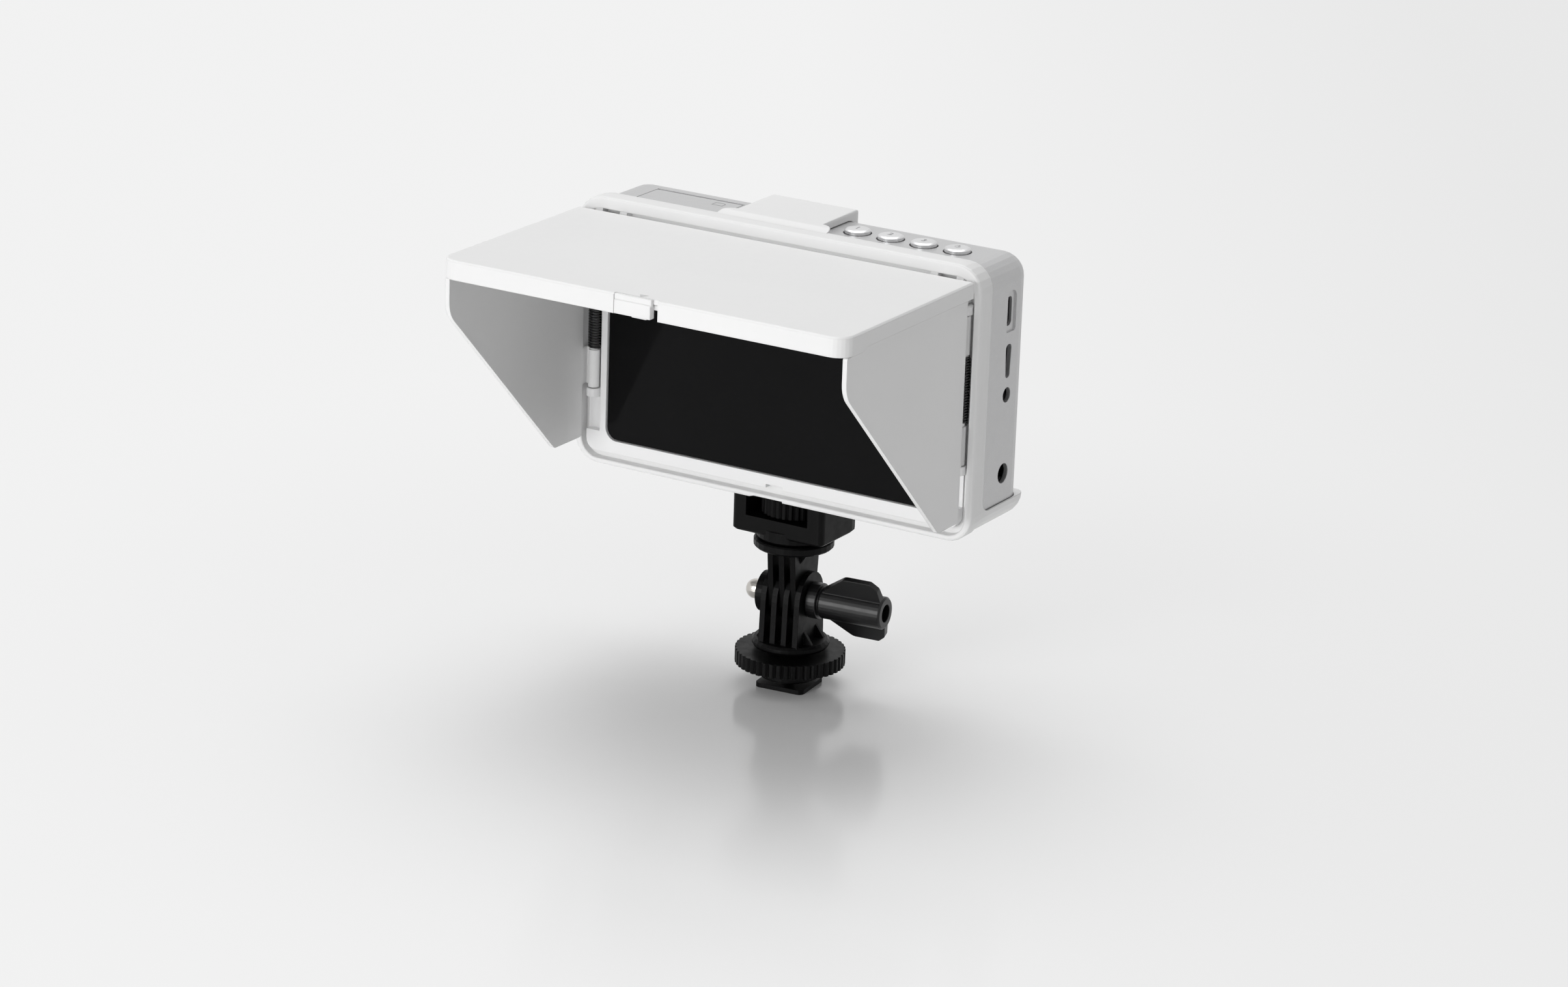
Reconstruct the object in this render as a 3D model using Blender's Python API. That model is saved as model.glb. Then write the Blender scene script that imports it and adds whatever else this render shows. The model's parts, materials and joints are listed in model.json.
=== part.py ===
"""Camera field monitor with a folding sun hood, on a tilting and turning hot-shoe mount.

Metres, +Z up, the screen faces -Y. The origin is the centre of the shoe foot's bottom face.
The monitor is modelled in its own frame: X to the viewer's right, the hood frame's front
face at y = 0 and its bottom edge at z = 0. The mount below is turned a little about Z.
"""
import math

import bmesh
import bpy
from mathutils import Matrix, Vector

# Clearances
GAP = 0.0003
RUN_GAP = 0.00008

# Shoe foot and its clamping wheel
FOOT_WIDTH = 0.0185
FOOT_LENGTH = 0.0180
FOOT_THICK = 0.0016
FOOT_CORNER = 0.0020
RAIL_GAP = 0.0021
STUD_RADIUS = 0.0030
STUD_GRIP = 0.0022
HUB_RADIUS = 0.0112
HUB_HEIGHT = 0.0046
WHEEL_RADIUS = 0.0194
WHEEL_HEIGHT = 0.0051
WHEEL_RIBS = 46
WHEEL_RIB_DEPTH = 0.0007
WHEEL_RIB_SHARE = 0.42
NECK_RADIUS = 0.0075
NECK_HEIGHT = 0.0014

# Tilting hinge: four fingers below, three above
MOUNT_TURN_DEG = 5.25
BASE_DISC_RADIUS = 0.01365
BASE_DISC_HEIGHT = 0.0029
FINGER_PITCH = 0.00216
FINGER_THICK = 0.0020
BASE_FINGERS = 4
BASE_REACH = 0.0150
BASE_KNUCKLE_RADIUS = 0.0098
BASE_FLARE = 0.0009
YOKE_REACH = 0.0187
YOKE_KNUCKLE_RADIUS = 0.0080
YOKE_FLARE = 0.0022
YOKE_DISC_RADIUS = 0.0141
YOKE_DISC_HEIGHT = 0.0032
GUSSET_HEIGHT = 0.0045
GUSSET_REACH = 0.0032
GUSSET_THICK = 0.0013
GUSSET_SPREAD = 0.0048
BOLT_RADIUS = 0.0024
NUT_BOSS_RADIUS = 0.0073
NUT_BOSS_LENGTH = 0.0035
NUT_RADIUS = 0.0036
NUT_FLANGE_RADIUS = 0.0046
NUT_FLANGE_THICK = 0.0024
NUT_BARREL = 0.0033

# Thumb knob
COLLAR_RADIUS = 0.0064
COLLAR_LENGTH = 0.0044
KNOB_RADIUS = 0.0058
KNOB_LENGTH = 0.0238
KNOB_GROOVE = 0.0006
KNOB_BORE_RADIUS = 0.0032
KNOB_BORE_DEPTH = 0.0110
WING_REACH = 0.0128
WING_THICK = 0.0036
WING_TAPER = 0.45
WING_LEAN_DEG = 23.0
WING_START = 0.0012
WING_RAMP = 0.0100
WING_TIP = 0.0104

# Swivel between the yoke and the block
SWIVEL_BOSS_RADIUS = 0.0132
SWIVEL_BOSS_HEIGHT = 0.0023
SPIGOT_RADIUS = 0.0050
SWIVEL_SCREW_RADIUS = 0.0014
SWIVEL_HEAD_RADIUS = 0.0027
SWIVEL_HEAD_HEIGHT = 0.0008
WASHER_RADIUS = 0.0064
WASHER_THICK = 0.0008
SWIVEL_POCKET_DEPTH = 0.0024

# Block with its captive mounting wheel
BLOCK_WIDTH = 0.0366
BLOCK_FRONT = 0.0125
BLOCK_BACK = 0.0162
BLOCK_HEIGHT = 0.0150
BLOCK_FRONT_CORNER = 0.0022
BLOCK_BACK_CORNER = 0.0080
BLOCK_BEVEL = 0.0007
BLOCK_FLOOR = 0.0061
BLOCK_ROOF = 0.0016
THUMB_WHEEL_RADIUS = 0.0118
THUMB_WHEEL_HEIGHT = 0.0062
THUMB_WHEEL_RIBS = 31
THUMB_WHEEL_RIB_DEPTH = 0.0007
MOUNT_STUD_RADIUS = 0.0031
MOUNT_STUD_GRIP = 0.0062
INSERT_WALL = 0.0018
INSERT_HEIGHT = 0.0075
PAD_WIDTH = 0.0330

# Hood frame
FRAME_WIDTH = 0.1592
FRAME_HEIGHT = 0.0963
FRAME_CORNER = 0.0095
FRAME_DEPTH = 0.0086
FRAME_STEP_Y = 0.0062
FRAME_STEP = 0.0004
FRAME_EDGE = 0.0009
RIM_SIDE = 0.0028
RIM_BOTTOM = 0.0020
RIM_TOP = 0.0042
CHANNEL_DEPTH = 0.0033
FLANGE_THICK = 0.0014
FLANGE_WIDTH = 0.0036
FRAME_BACK_WALL = 0.0009
MONITOR_SETBACK = 0.0190
NOTCH_LEFT = -0.0056
NOTCH_RIGHT = 0.0058
NOTCH_RAMP = 0.0034
NOTCH_DEPTH = 0.0009

# Corner cups and the clip over the top of the body
CUP_DEPTH = 0.0388
CUP_HEIGHT = 0.0092
CUP_WIDTH = 0.0175
CUP_FILLET = 0.0042
CUP_BACK_RADIUS = 0.0036
CLIP_LEFT = -0.0235
CLIP_RIGHT = 0.0105
CLIP_THICK = 0.0030
CLIP_RISE = 0.0022
CLIP_HOOK = 0.0070
CLIP_SWEEP = 0.0048
CLIP_CORNER = 0.0032
CLIP_EDGE = 0.0013

# Silver body
SHELL_WALL = 0.0016
SHELL_TOP_SINK = 0.0007
SHELL_DEPTH = 0.0322
SHELL_BACK_RADIUS = 0.0074
VENT_COUNT = 8
VENT_LENGTH = 0.0240
VENT_WIDTH = 0.0018
VENT_PITCH = 0.0052
VENT_HEIGHT_SHARE = 0.66

# Bezel and screen
BEZEL_GAP_SIDE = 0.0022
BEZEL_GAP_BOTTOM = 0.0027
BEZEL_TOP = 0.0867
BEZEL_THICK = 0.0030
BEZEL_CORNER = 0.0040
WINDOW_SIDE = 0.0079
WINDOW_BOTTOM = 0.0093
WINDOW_TOP = 0.0841
WINDOW_CORNER = 0.0045
GLASS_SET = 0.0009
GLASS_THICK = 0.0012
PANEL_MARGIN = 0.0025
PANEL_THICK = 0.0020
BACKLIGHT_THICK = 0.0030
CATCH_LEFT = -0.0008
CATCH_RIGHT = 0.0058
CATCH_HEIGHT = 0.0013

# Side flaps and their sprung hinges
FLAP_REACH = 0.0830
FLAP_THICK = 0.0017
FLAP_SETIN = 0.0040
LEFT_FLAP_BACK = 0.0016
RIGHT_FLAP_BACK = 0.0050
FLAP_BOTTOM = 0.0091
FLAP_TIP_Y = 0.0185
FLAP_BEND_Z = 0.0722
FLAP_BEND_RADIUS = 0.0100
FLAP_TIP_RADIUS = 0.0022
RIGHT_HINGE_SETIN = 0.0017
LEFT_HINGE_SETIN = 0.0037
HINGE_LOW_LUG = 0.0245
HINGE_LUG_HEIGHT = 0.0030
HINGE_HIGH_LUG = 0.0800
LUG_RADIUS = 0.0025
BARREL_RADIUS = 0.0020
BARREL_CORE = 0.0015
FLAP_PIN_RADIUS = 0.0008
SPRING_LOW = 0.0415
SPRING_HIGH = 0.0660
SPRING_RADIUS = 0.00215
SPRING_WIRE = 0.00034
SPRING_PITCH = 0.00145
TROUGH_CLEARANCE = 0.00025
TROUGH_BOTTOM = 0.0120

# Lid of the hood
LID_SETIN = 0.0016
LID_FRONT = 0.0858
LID_BACK = 0.0026
LID_TOP = 0.0921
LID_PLATE = 0.0018
LID_SKIRT = 0.0016
LID_LIP = 0.0018
LID_SIDE_DROP = 0.0056
LID_FRONT_DROP = 0.0068
LID_CORNER = 0.0060
LID_STEP_Y = 0.0720
LID_STEP_RUN = 0.0020
LID_PIVOT_Y = 0.0013
LID_PIVOT_Z = 0.0890
LID_BARREL = 0.0017
LID_ARM_SETIN = 0.0165
LID_ARM_WIDTH = 0.0064
LID_ARM_CREST = 0.0029
LID_ARM_ROOT = 0.0016
LID_EDGE = 0.0006
LID_EAR_WIDTH = 0.0029
LID_PIN_RADIUS = 0.0008

# Latch slider in the lid's front lip
LATCH_LEFT = -0.0088
LATCH_WIDTH = 0.0138
LATCH_TRAVEL = 0.0025
LATCH_RECESS = 0.0015
LATCH_DEPTH = 0.0026
LATCH_PLATE = 0.0018
LATCH_PLATE_DEPTH = 0.0034
LATCH_HOOK_DROP = 0.0016
LATCH_HOOK_WIDTH = 0.0056
LATCH_HOOK_THICK = 0.0018

# Buttons along the top
BUTTON_COUNT = 4
BUTTON_ROW_START = 0.0583
BUTTON_Y = 0.0202
BUTTON_PITCH = 0.0129
BUTTON_RADIUS = 0.00465
BUTTON_RISE = 0.0017
BUTTON_CHAMFER = 0.0009
BUTTON_TRAVEL = 0.0008
BUTTON_FLANGE = 0.0009
BUTTON_FLANGE_THICK = 0.0010
BUTTON_STEM = 0.0015
BUTTON_STEM_LENGTH = 0.0036
SWITCH_BODY = 0.0060
SWITCH_HEIGHT = 0.0030
SWITCH_KNOB = 0.0016

# Card slot cover
COVER_SETIN = 0.0139
COVER_LENGTH = 0.0349
COVER_FRONT = 0.0117
COVER_BACK_STRIP = 0.0024
COVER_THICK = 0.0015
COVER_CORNER = 0.0025
COVER_PIN_RADIUS = 0.0003
COVER_PIN_GRIP = 0.0008
CARD_WIDTH = 0.0246
CARD_THICK = 0.0026
CARD_SOCKET_DEPTH = 0.0180
CARD_SOCKET_WALL = 0.0009

# Sockets in the right side
PORT_Y = 0.0232
USB_Z = 0.0763
USB_LONG = 0.0102
USB_WIDE = 0.0038
USB_RECESS = 0.0006
USB_RECESS_MARGIN = 0.0021
HDMI_Z = 0.0590
HDMI_LONG = 0.0118
HDMI_WIDE = 0.0042
HDMI_NARROW = 0.0028
AUDIO_Z = 0.0471
AUDIO_RADIUS = 0.00265
DC_Z = 0.0194
DC_RADIUS = 0.0035
SOCKET_DEPTH = 0.0090
SOCKET_WALL = 0.0008
SOCKET_MOUTH = 0.0060
TONGUE_HALF = 0.0004
DC_PIN_RADIUS = 0.0010

# Boards and screws inside
BOARD_Y = 0.0256
BOARD_THICK = 0.0016
BOARD_MARGIN = 0.0038
BOARD_BOTTOM = 0.0110
BOARD_TOP = 0.0850
BUTTON_BOARD_THICK = 0.0012
SCREW_SETIN = 0.0143
SCREW_LOW = 0.0150
SCREW_HIGH = 0.0810
SCREW_RADIUS = 0.0011
SCREW_HEAD = 0.0023
SCREW_HEAD_HEIGHT = 0.0012
BOSS_RADIUS = 0.0030

# Fineness of the curves
ROUND = 32
SMALL_ROUND = 16
CORNER = 5


def clear_scene():
    """Start from an empty scene."""
    for item in list(bpy.data.objects):
        bpy.data.objects.remove(item, do_unlink=True)


def finish(name, colour, roughness, metallic=0.0):
    """A plain material with the part's colour, roughness and metallic value."""
    material = bpy.data.materials.new(name)
    material.use_nodes = True
    shader = material.node_tree.nodes["Principled BSDF"]
    shader.inputs["Base Color"].default_value = (*colour, 1.0)
    shader.inputs["Roughness"].default_value = roughness
    shader.inputs["Metallic"].default_value = metallic
    return material


def empty(name, at=(0, 0, 0), parent=None, turn_z=0.0):
    """A frame that other pieces are placed in."""
    item = bpy.data.objects.new(name, None)
    item.location = at
    item.rotation_euler = (0, 0, turn_z)
    item.parent = parent
    bpy.context.collection.objects.link(item)
    return item


def make(name, bm, material, parent=None, at=(0, 0, 0)):
    """Turn a closed bmesh into a named object, smooth where its faces nearly line up."""
    bmesh.ops.remove_doubles(bm, verts=bm.verts, dist=1e-7)
    bmesh.ops.recalc_face_normals(bm, faces=bm.faces)
    mesh = bpy.data.meshes.new(name)
    bm.to_mesh(mesh)
    bm.free()
    mesh.shade_smooth()
    mesh.set_sharp_from_angle(angle=math.radians(32))
    mesh.materials.append(material)
    item = bpy.data.objects.new(name, mesh)
    item.location = at
    item.parent = parent
    bpy.context.collection.objects.link(item)
    return item


def shape(item, bm, operation):
    """Join or cut a solid into an object with an exact Boolean."""
    name = f"{item.name}_{operation.lower()}_{len(item.modifiers)}"
    helper = make(name, bm, item.data.materials[0], item.parent, item.location)
    helper.hide_render = True
    helper.display_type = "WIRE"
    step = item.modifiers.new(name, "BOOLEAN")
    step.operation = operation
    step.solver = "EXACT"
    step.object = helper


def join(item, bm):
    """Add a solid that overlaps the object."""
    shape(item, bm, "UNION")


def cut(item, bm):
    """Take a solid away from the object."""
    shape(item, bm, "DIFFERENCE")


def rounded(points, steps=CORNER):
    """An outline from corner points (u, v, radius), each round corner an arc."""
    outline = []
    count = len(points)
    for index, (u, v, radius) in enumerate(points):
        here = Vector((u, v))
        if radius <= 0:
            outline.append(here)
            continue
        before = (Vector(points[index - 1][:2]) - here).normalized()
        after = (Vector(points[(index + 1) % count][:2]) - here).normalized()
        half = before.angle(after) / 2
        run = radius / math.tan(half)
        centre = here + (before + after).normalized() * (radius / math.sin(half))
        start = here + before * run - centre
        swing = start.angle_signed(here + after * run - centre)
        for step in range(steps + 1):
            angle = -swing * step / steps
            outline.append(centre + Matrix.Rotation(angle, 2) @ start)
    return outline


def rectangle(u_low, u_high, v_low, v_high, radius=0.0, steps=CORNER):
    """A rectangle's outline, with round corners if a radius is given."""
    corners = [(u_low, v_low), (u_high, v_low), (u_high, v_high), (u_low, v_high)]
    return rounded([(u, v, radius) for u, v in corners], steps)


def circle(radius, steps=ROUND, centre=(0, 0)):
    """A circle's outline as a polygon."""
    angles = [2 * math.pi * step / steps for step in range(steps)]
    return [Vector((centre[0] + radius * math.cos(a), centre[1] + radius * math.sin(a))) for a in angles]


def lift(point, height, axis):
    """Place an outline's point at a height along an axis."""
    u, v = point
    places = {"x": (height, u, v), "y": (u, height, v), "z": (u, v, height)}
    return Vector(places[axis])


def prism(outline, low, high, axis="z", bm=None):
    """Extrude an outline along an axis from low to high."""
    bm = bm or bmesh.new()
    face = bm.faces.new([bm.verts.new(lift(point, low, axis)) for point in outline])
    grown = bmesh.ops.extrude_face_region(bm, geom=[face])
    moved = [item for item in grown["geom"] if isinstance(item, bmesh.types.BMVert)]
    bmesh.ops.translate(bm, verts=moved, vec=lift((0, 0), high - low, axis))
    bm.faces.ensure_lookup_table()
    return bm


def box(x_low, x_high, y_low, y_high, z_low, z_high, bm=None):
    """A plain box."""
    return prism(rectangle(x_low, x_high, y_low, y_high), z_low, z_high, "z", bm)


def turned(profile, steps=ROUND, axis="z", centre=(0, 0, 0), bm=None):
    """Spin a profile of (radius, height) about an axis; its ends lie on the axis."""
    bm = bm or bmesh.new()
    heading = {"x": Vector((1, 0, 0)), "y": Vector((0, 1, 0)), "z": Vector((0, 0, 1))}[axis]
    outward = Vector((0, 1, 0)) if axis == "x" else Vector((1, 0, 0))
    middle = Vector(centre)
    places = [middle + outward * radius + heading * height for radius, height in profile]
    verts = [bm.verts.new(place) for place in places]
    edges = [bm.edges.new(pair) for pair in zip(verts, verts[1:])]
    bmesh.ops.spin(
        bm,
        geom=verts + edges,
        cent=middle,
        axis=heading,
        dvec=(0, 0, 0),
        angle=2 * math.pi,
        steps=steps,
        use_merge=True,
    )
    bmesh.ops.remove_doubles(bm, verts=bm.verts, dist=1e-7)
    bmesh.ops.dissolve_degenerate(bm, edges=bm.edges, dist=1e-8)
    return bm


def rod(radius, low, high, axis="z", centre=(0, 0), steps=ROUND, bm=None):
    """A plain cylinder along an axis, its centre given in the plane across that axis."""
    return prism(circle(radius, steps, centre), low, high, axis, bm)


def loft(rings, closed=False, bm=None):
    """Skin a row of rings that have as many points; closed joins the last to the first."""
    bm = bm or bmesh.new()
    loops = [[bm.verts.new(point) for point in ring] for ring in rings]
    pairs = list(zip(loops, loops[1:]))
    if closed:
        pairs.append((loops[-1], loops[0]))
    else:
        bm.faces.new(loops[0])
        bm.faces.new(loops[-1])
    for first, second in pairs:
        count = len(first)
        for index in range(count):
            after = (index + 1) % count
            bm.faces.new((first[index], first[after], second[after], second[index]))
    return bm


def ring(y, half_width, z_low, z_high, radius):
    """A round-cornered ring across the monitor at depth y."""
    outline = rectangle(-half_width, half_width, z_low, z_high, max(radius, GAP), CORNER + 1)
    return [lift(point, y, "y") for point in outline]


def ribbed(radius, depth, ribs, rib_share):
    """The outline of a knurled rim: flat-topped ribs with grooves between them."""
    outline = []
    for rib in range(ribs):
        for share, reach in ((0.0, radius), (rib_share, radius), (0.72, radius - depth)):
            angle = 2 * math.pi * (rib + share) / ribs
            outline.append(Vector((reach * math.cos(angle), reach * math.sin(angle))))
    return outline


# Heights of the stack, from the foot's bottom face up
WHEEL_LOW = FOOT_THICK + RAIL_GAP
WHEEL_RIM = WHEEL_LOW + HUB_HEIGHT
WHEEL_TOP = WHEEL_RIM + WHEEL_HEIGHT
DISC_LOW = WHEEL_TOP + NECK_HEIGHT
DISC_TOP = DISC_LOW + BASE_DISC_HEIGHT
HINGE_Z = DISC_TOP + BASE_REACH
YOKE_LOW = HINGE_Z + YOKE_REACH
YOKE_TOP = YOKE_LOW + YOKE_DISC_HEIGHT
BLOCK_LOW = YOKE_TOP + GAP + SWIVEL_BOSS_HEIGHT
BLOCK_TOP = BLOCK_LOW + BLOCK_HEIGHT
MONITOR_Z = BLOCK_TOP + GAP
WHEEL_FLOOR = BLOCK_LOW + BLOCK_FLOOR
SWIVEL_FLOOR = WHEEL_FLOOR - SWIVEL_POCKET_DEPTH
THUMB_WHEEL_LOW = BLOCK_TOP - BLOCK_ROOF - GAP - THUMB_WHEEL_HEIGHT

# Sizes that follow from the ones above
STACK_HALF = (2 * BASE_FINGERS - 1) * FINGER_PITCH / 2
FRAME_HALF = FRAME_WIDTH / 2
RIM_HALF = FRAME_HALF - RIM_SIDE
RIM_ROOF = FRAME_HEIGHT - RIM_TOP
SEAT_Y = CHANNEL_DEPTH + FLANGE_THICK
SHELL_HALF = FRAME_HALF - FRAME_BACK_WALL - FRAME_STEP
SHELL_BOTTOM = FRAME_BACK_WALL + FRAME_STEP
SHELL_TOP = FRAME_HEIGHT - FRAME_BACK_WALL - FRAME_STEP - SHELL_TOP_SINK
SHELL_CORNER = FRAME_CORNER - FRAME_BACK_WALL - FRAME_STEP
SHELL_FRONT = SEAT_Y + GAP
SHELL_REAR = SHELL_FRONT + SHELL_DEPTH
BEZEL_HALF = RIM_HALF - BEZEL_GAP_SIDE
BEZEL_BOTTOM = RIM_BOTTOM + BEZEL_GAP_BOTTOM
WINDOW_HALF = BEZEL_HALF - WINDOW_SIDE
FLAP_INSIDE = FRAME_HALF - FLAP_SETIN
RIGHT_HINGE_X = FLAP_INSIDE - RIGHT_HINGE_SETIN
LEFT_HINGE_X = FLAP_INSIDE - LEFT_HINGE_SETIN
LID_HALF_WIDTH = FRAME_HALF - LID_SETIN
LID_ARM_INNER = FRAME_HALF - LID_ARM_SETIN
BUTTON_FIRST_X = SHELL_HALF - BUTTON_ROW_START
COVER_LEFT = COVER_SETIN - SHELL_HALF
COVER_RIGHT = COVER_LEFT + COVER_LENGTH
BOARD_HALF = SHELL_HALF - BOARD_MARGIN
SCREW_X = SHELL_HALF - SCREW_SETIN
LID_SKIRT_BOTTOM = LID_TOP - LID_SIDE_DROP
LID_LIP_BOTTOM = LID_TOP - LID_FRONT_DROP
LID_UNDERSIDE = LID_TOP - LID_PLATE
FLAP_TOP = LID_SKIRT_BOTTOM - GAP
FLAP_FRONT_TOP = LID_LIP_BOTTOM - GAP
COVER_BACK = SHELL_REAR - SHELL_BACK_RADIUS - COVER_BACK_STRIP
COVER_HINGE_Y = COVER_BACK - COVER_THICK / 2 - GAP
COVER_HINGE_Z = SHELL_TOP - COVER_THICK / 2
SOCKET_FACE = SHELL_HALF - SHELL_WALL - GAP


def build_finishes():
    """Every finish of the product."""
    return {
        "hood_white": finish("hood_white", (0.86, 0.86, 0.85), 0.42),
        "bezel_white": finish("bezel_white", (0.86, 0.86, 0.86), 0.38),
        "body_silver": finish("body_silver", (0.56, 0.56, 0.57), 0.36, 0.85),
        "button_silver": finish("button_silver", (0.70, 0.70, 0.71), 0.22, 1.0),
        "mount_black": finish("mount_black", (0.020, 0.020, 0.021), 0.45),
        "knob_black": finish("knob_black", (0.012, 0.012, 0.013), 0.28),
        "steel": finish("steel", (0.62, 0.60, 0.57), 0.22, 1.0),
        "spring_black": finish("spring_black", (0.010, 0.010, 0.010), 0.30, 0.6),
        "glass_black": finish("glass_black", (0.010, 0.010, 0.011), 0.12),
        "panel_black": finish("panel_black", (0.03, 0.03, 0.035), 0.35),
        "backlight_white": finish("backlight_white", (0.75, 0.76, 0.78), 0.50),
        "board_green": finish("board_green", (0.02, 0.11, 0.06), 0.45),
        "socket_black": finish("socket_black", (0.015, 0.015, 0.016), 0.40),
        "socket_metal": finish("socket_metal", (0.55, 0.55, 0.56), 0.30, 1.0),
        "pad_rubber": finish("pad_rubber", (0.025, 0.025, 0.025), 0.80),
        "brass": finish("brass", (0.60, 0.42, 0.18), 0.30, 1.0),
    }


def build_shoe(look, mount):
    """The foot that slides into a camera's hot shoe, its stud and the clamping wheel."""
    half_w, half_l = FOOT_WIDTH / 2, FOOT_LENGTH / 2
    foot = make(
        "shoe_foot",
        prism(rectangle(-half_w, half_w, -half_l, half_l, FOOT_CORNER), 0, FOOT_THICK),
        look["mount_black"],
        mount,
    )
    seat = STUD_RADIUS * 0.62
    join(foot, rod(seat, FOOT_THICK / 2, WHEEL_LOW + GAP))
    stud_low = WHEEL_LOW + 2 * GAP
    make(
        "shoe_stud",
        rod(STUD_RADIUS, stud_low, DISC_LOW + STUD_GRIP, steps=24),
        look["steel"],
        mount,
    )
    bore = STUD_RADIUS + RUN_GAP
    body = [
        (bore, WHEEL_LOW),
        (HUB_RADIUS - 2 * GAP, WHEEL_LOW),
        (HUB_RADIUS, WHEEL_LOW + 2 * GAP),
        (HUB_RADIUS, WHEEL_RIM + GAP),
        (bore, WHEEL_RIM + GAP),
        (bore, WHEEL_LOW),
    ]
    wheel = make(
        "lock_wheel",
        prism(ribbed(WHEEL_RADIUS, WHEEL_RIB_DEPTH, WHEEL_RIBS, WHEEL_RIB_SHARE), WHEEL_RIM, WHEEL_TOP),
        look["mount_black"],
        mount,
    )
    cut(wheel, rod(bore, WHEEL_RIM - GAP, WHEEL_TOP + GAP))
    join(wheel, turned(body))


def finger_profile(knuckle, flare, reach, start):
    """One finger seen along the hinge axis: round at the pin, wider where it is rooted.

    reach is the signed distance from the hinge to the root, start how deep it is rooted.
    """
    side = 1 if reach > 0 else -1
    root = reach + side * start
    half = knuckle + flare
    arc = []
    for step in range(13):
        angle = math.pi * step / 12
        arc.append(Vector((knuckle * math.cos(angle), HINGE_Z - side * knuckle * math.sin(angle))))
    return [Vector((half, HINGE_Z + root)), *arc, Vector((-half, HINGE_Z + root))]


def fingers(count, outline):
    """A comb of fingers centred on the mount's axis, leaving room for the comb between."""
    bm = bmesh.new()
    for index in range(count):
        middle = (index - (count - 1) / 2) * 2 * FINGER_PITCH
        prism(outline, middle - FINGER_THICK / 2, middle + FINGER_THICK / 2, "x", bm)
    return bm


def gussets(face_x, root_z, direction):
    """Four triangular ribs that brace the outer fingers against their disc."""
    bm = bmesh.new()
    inside = face_x - FINGER_THICK / 2
    sunk = root_z - direction * 2 * GAP
    for side in (-1, 1):
        outline = [
            Vector((side * inside, sunk)),
            Vector((side * (face_x + GUSSET_REACH), sunk)),
            Vector((side * (face_x + GUSSET_REACH), root_z)),
            Vector((side * face_x, root_z + direction * GUSSET_HEIGHT)),
            Vector((side * inside, root_z + direction * GUSSET_HEIGHT)),
        ]
        for place in (-1, 1):
            middle = place * GUSSET_SPREAD
            prism(outline, middle - GUSSET_THICK / 2, middle + GUSSET_THICK / 2, "y", bm)
    return bm


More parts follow.
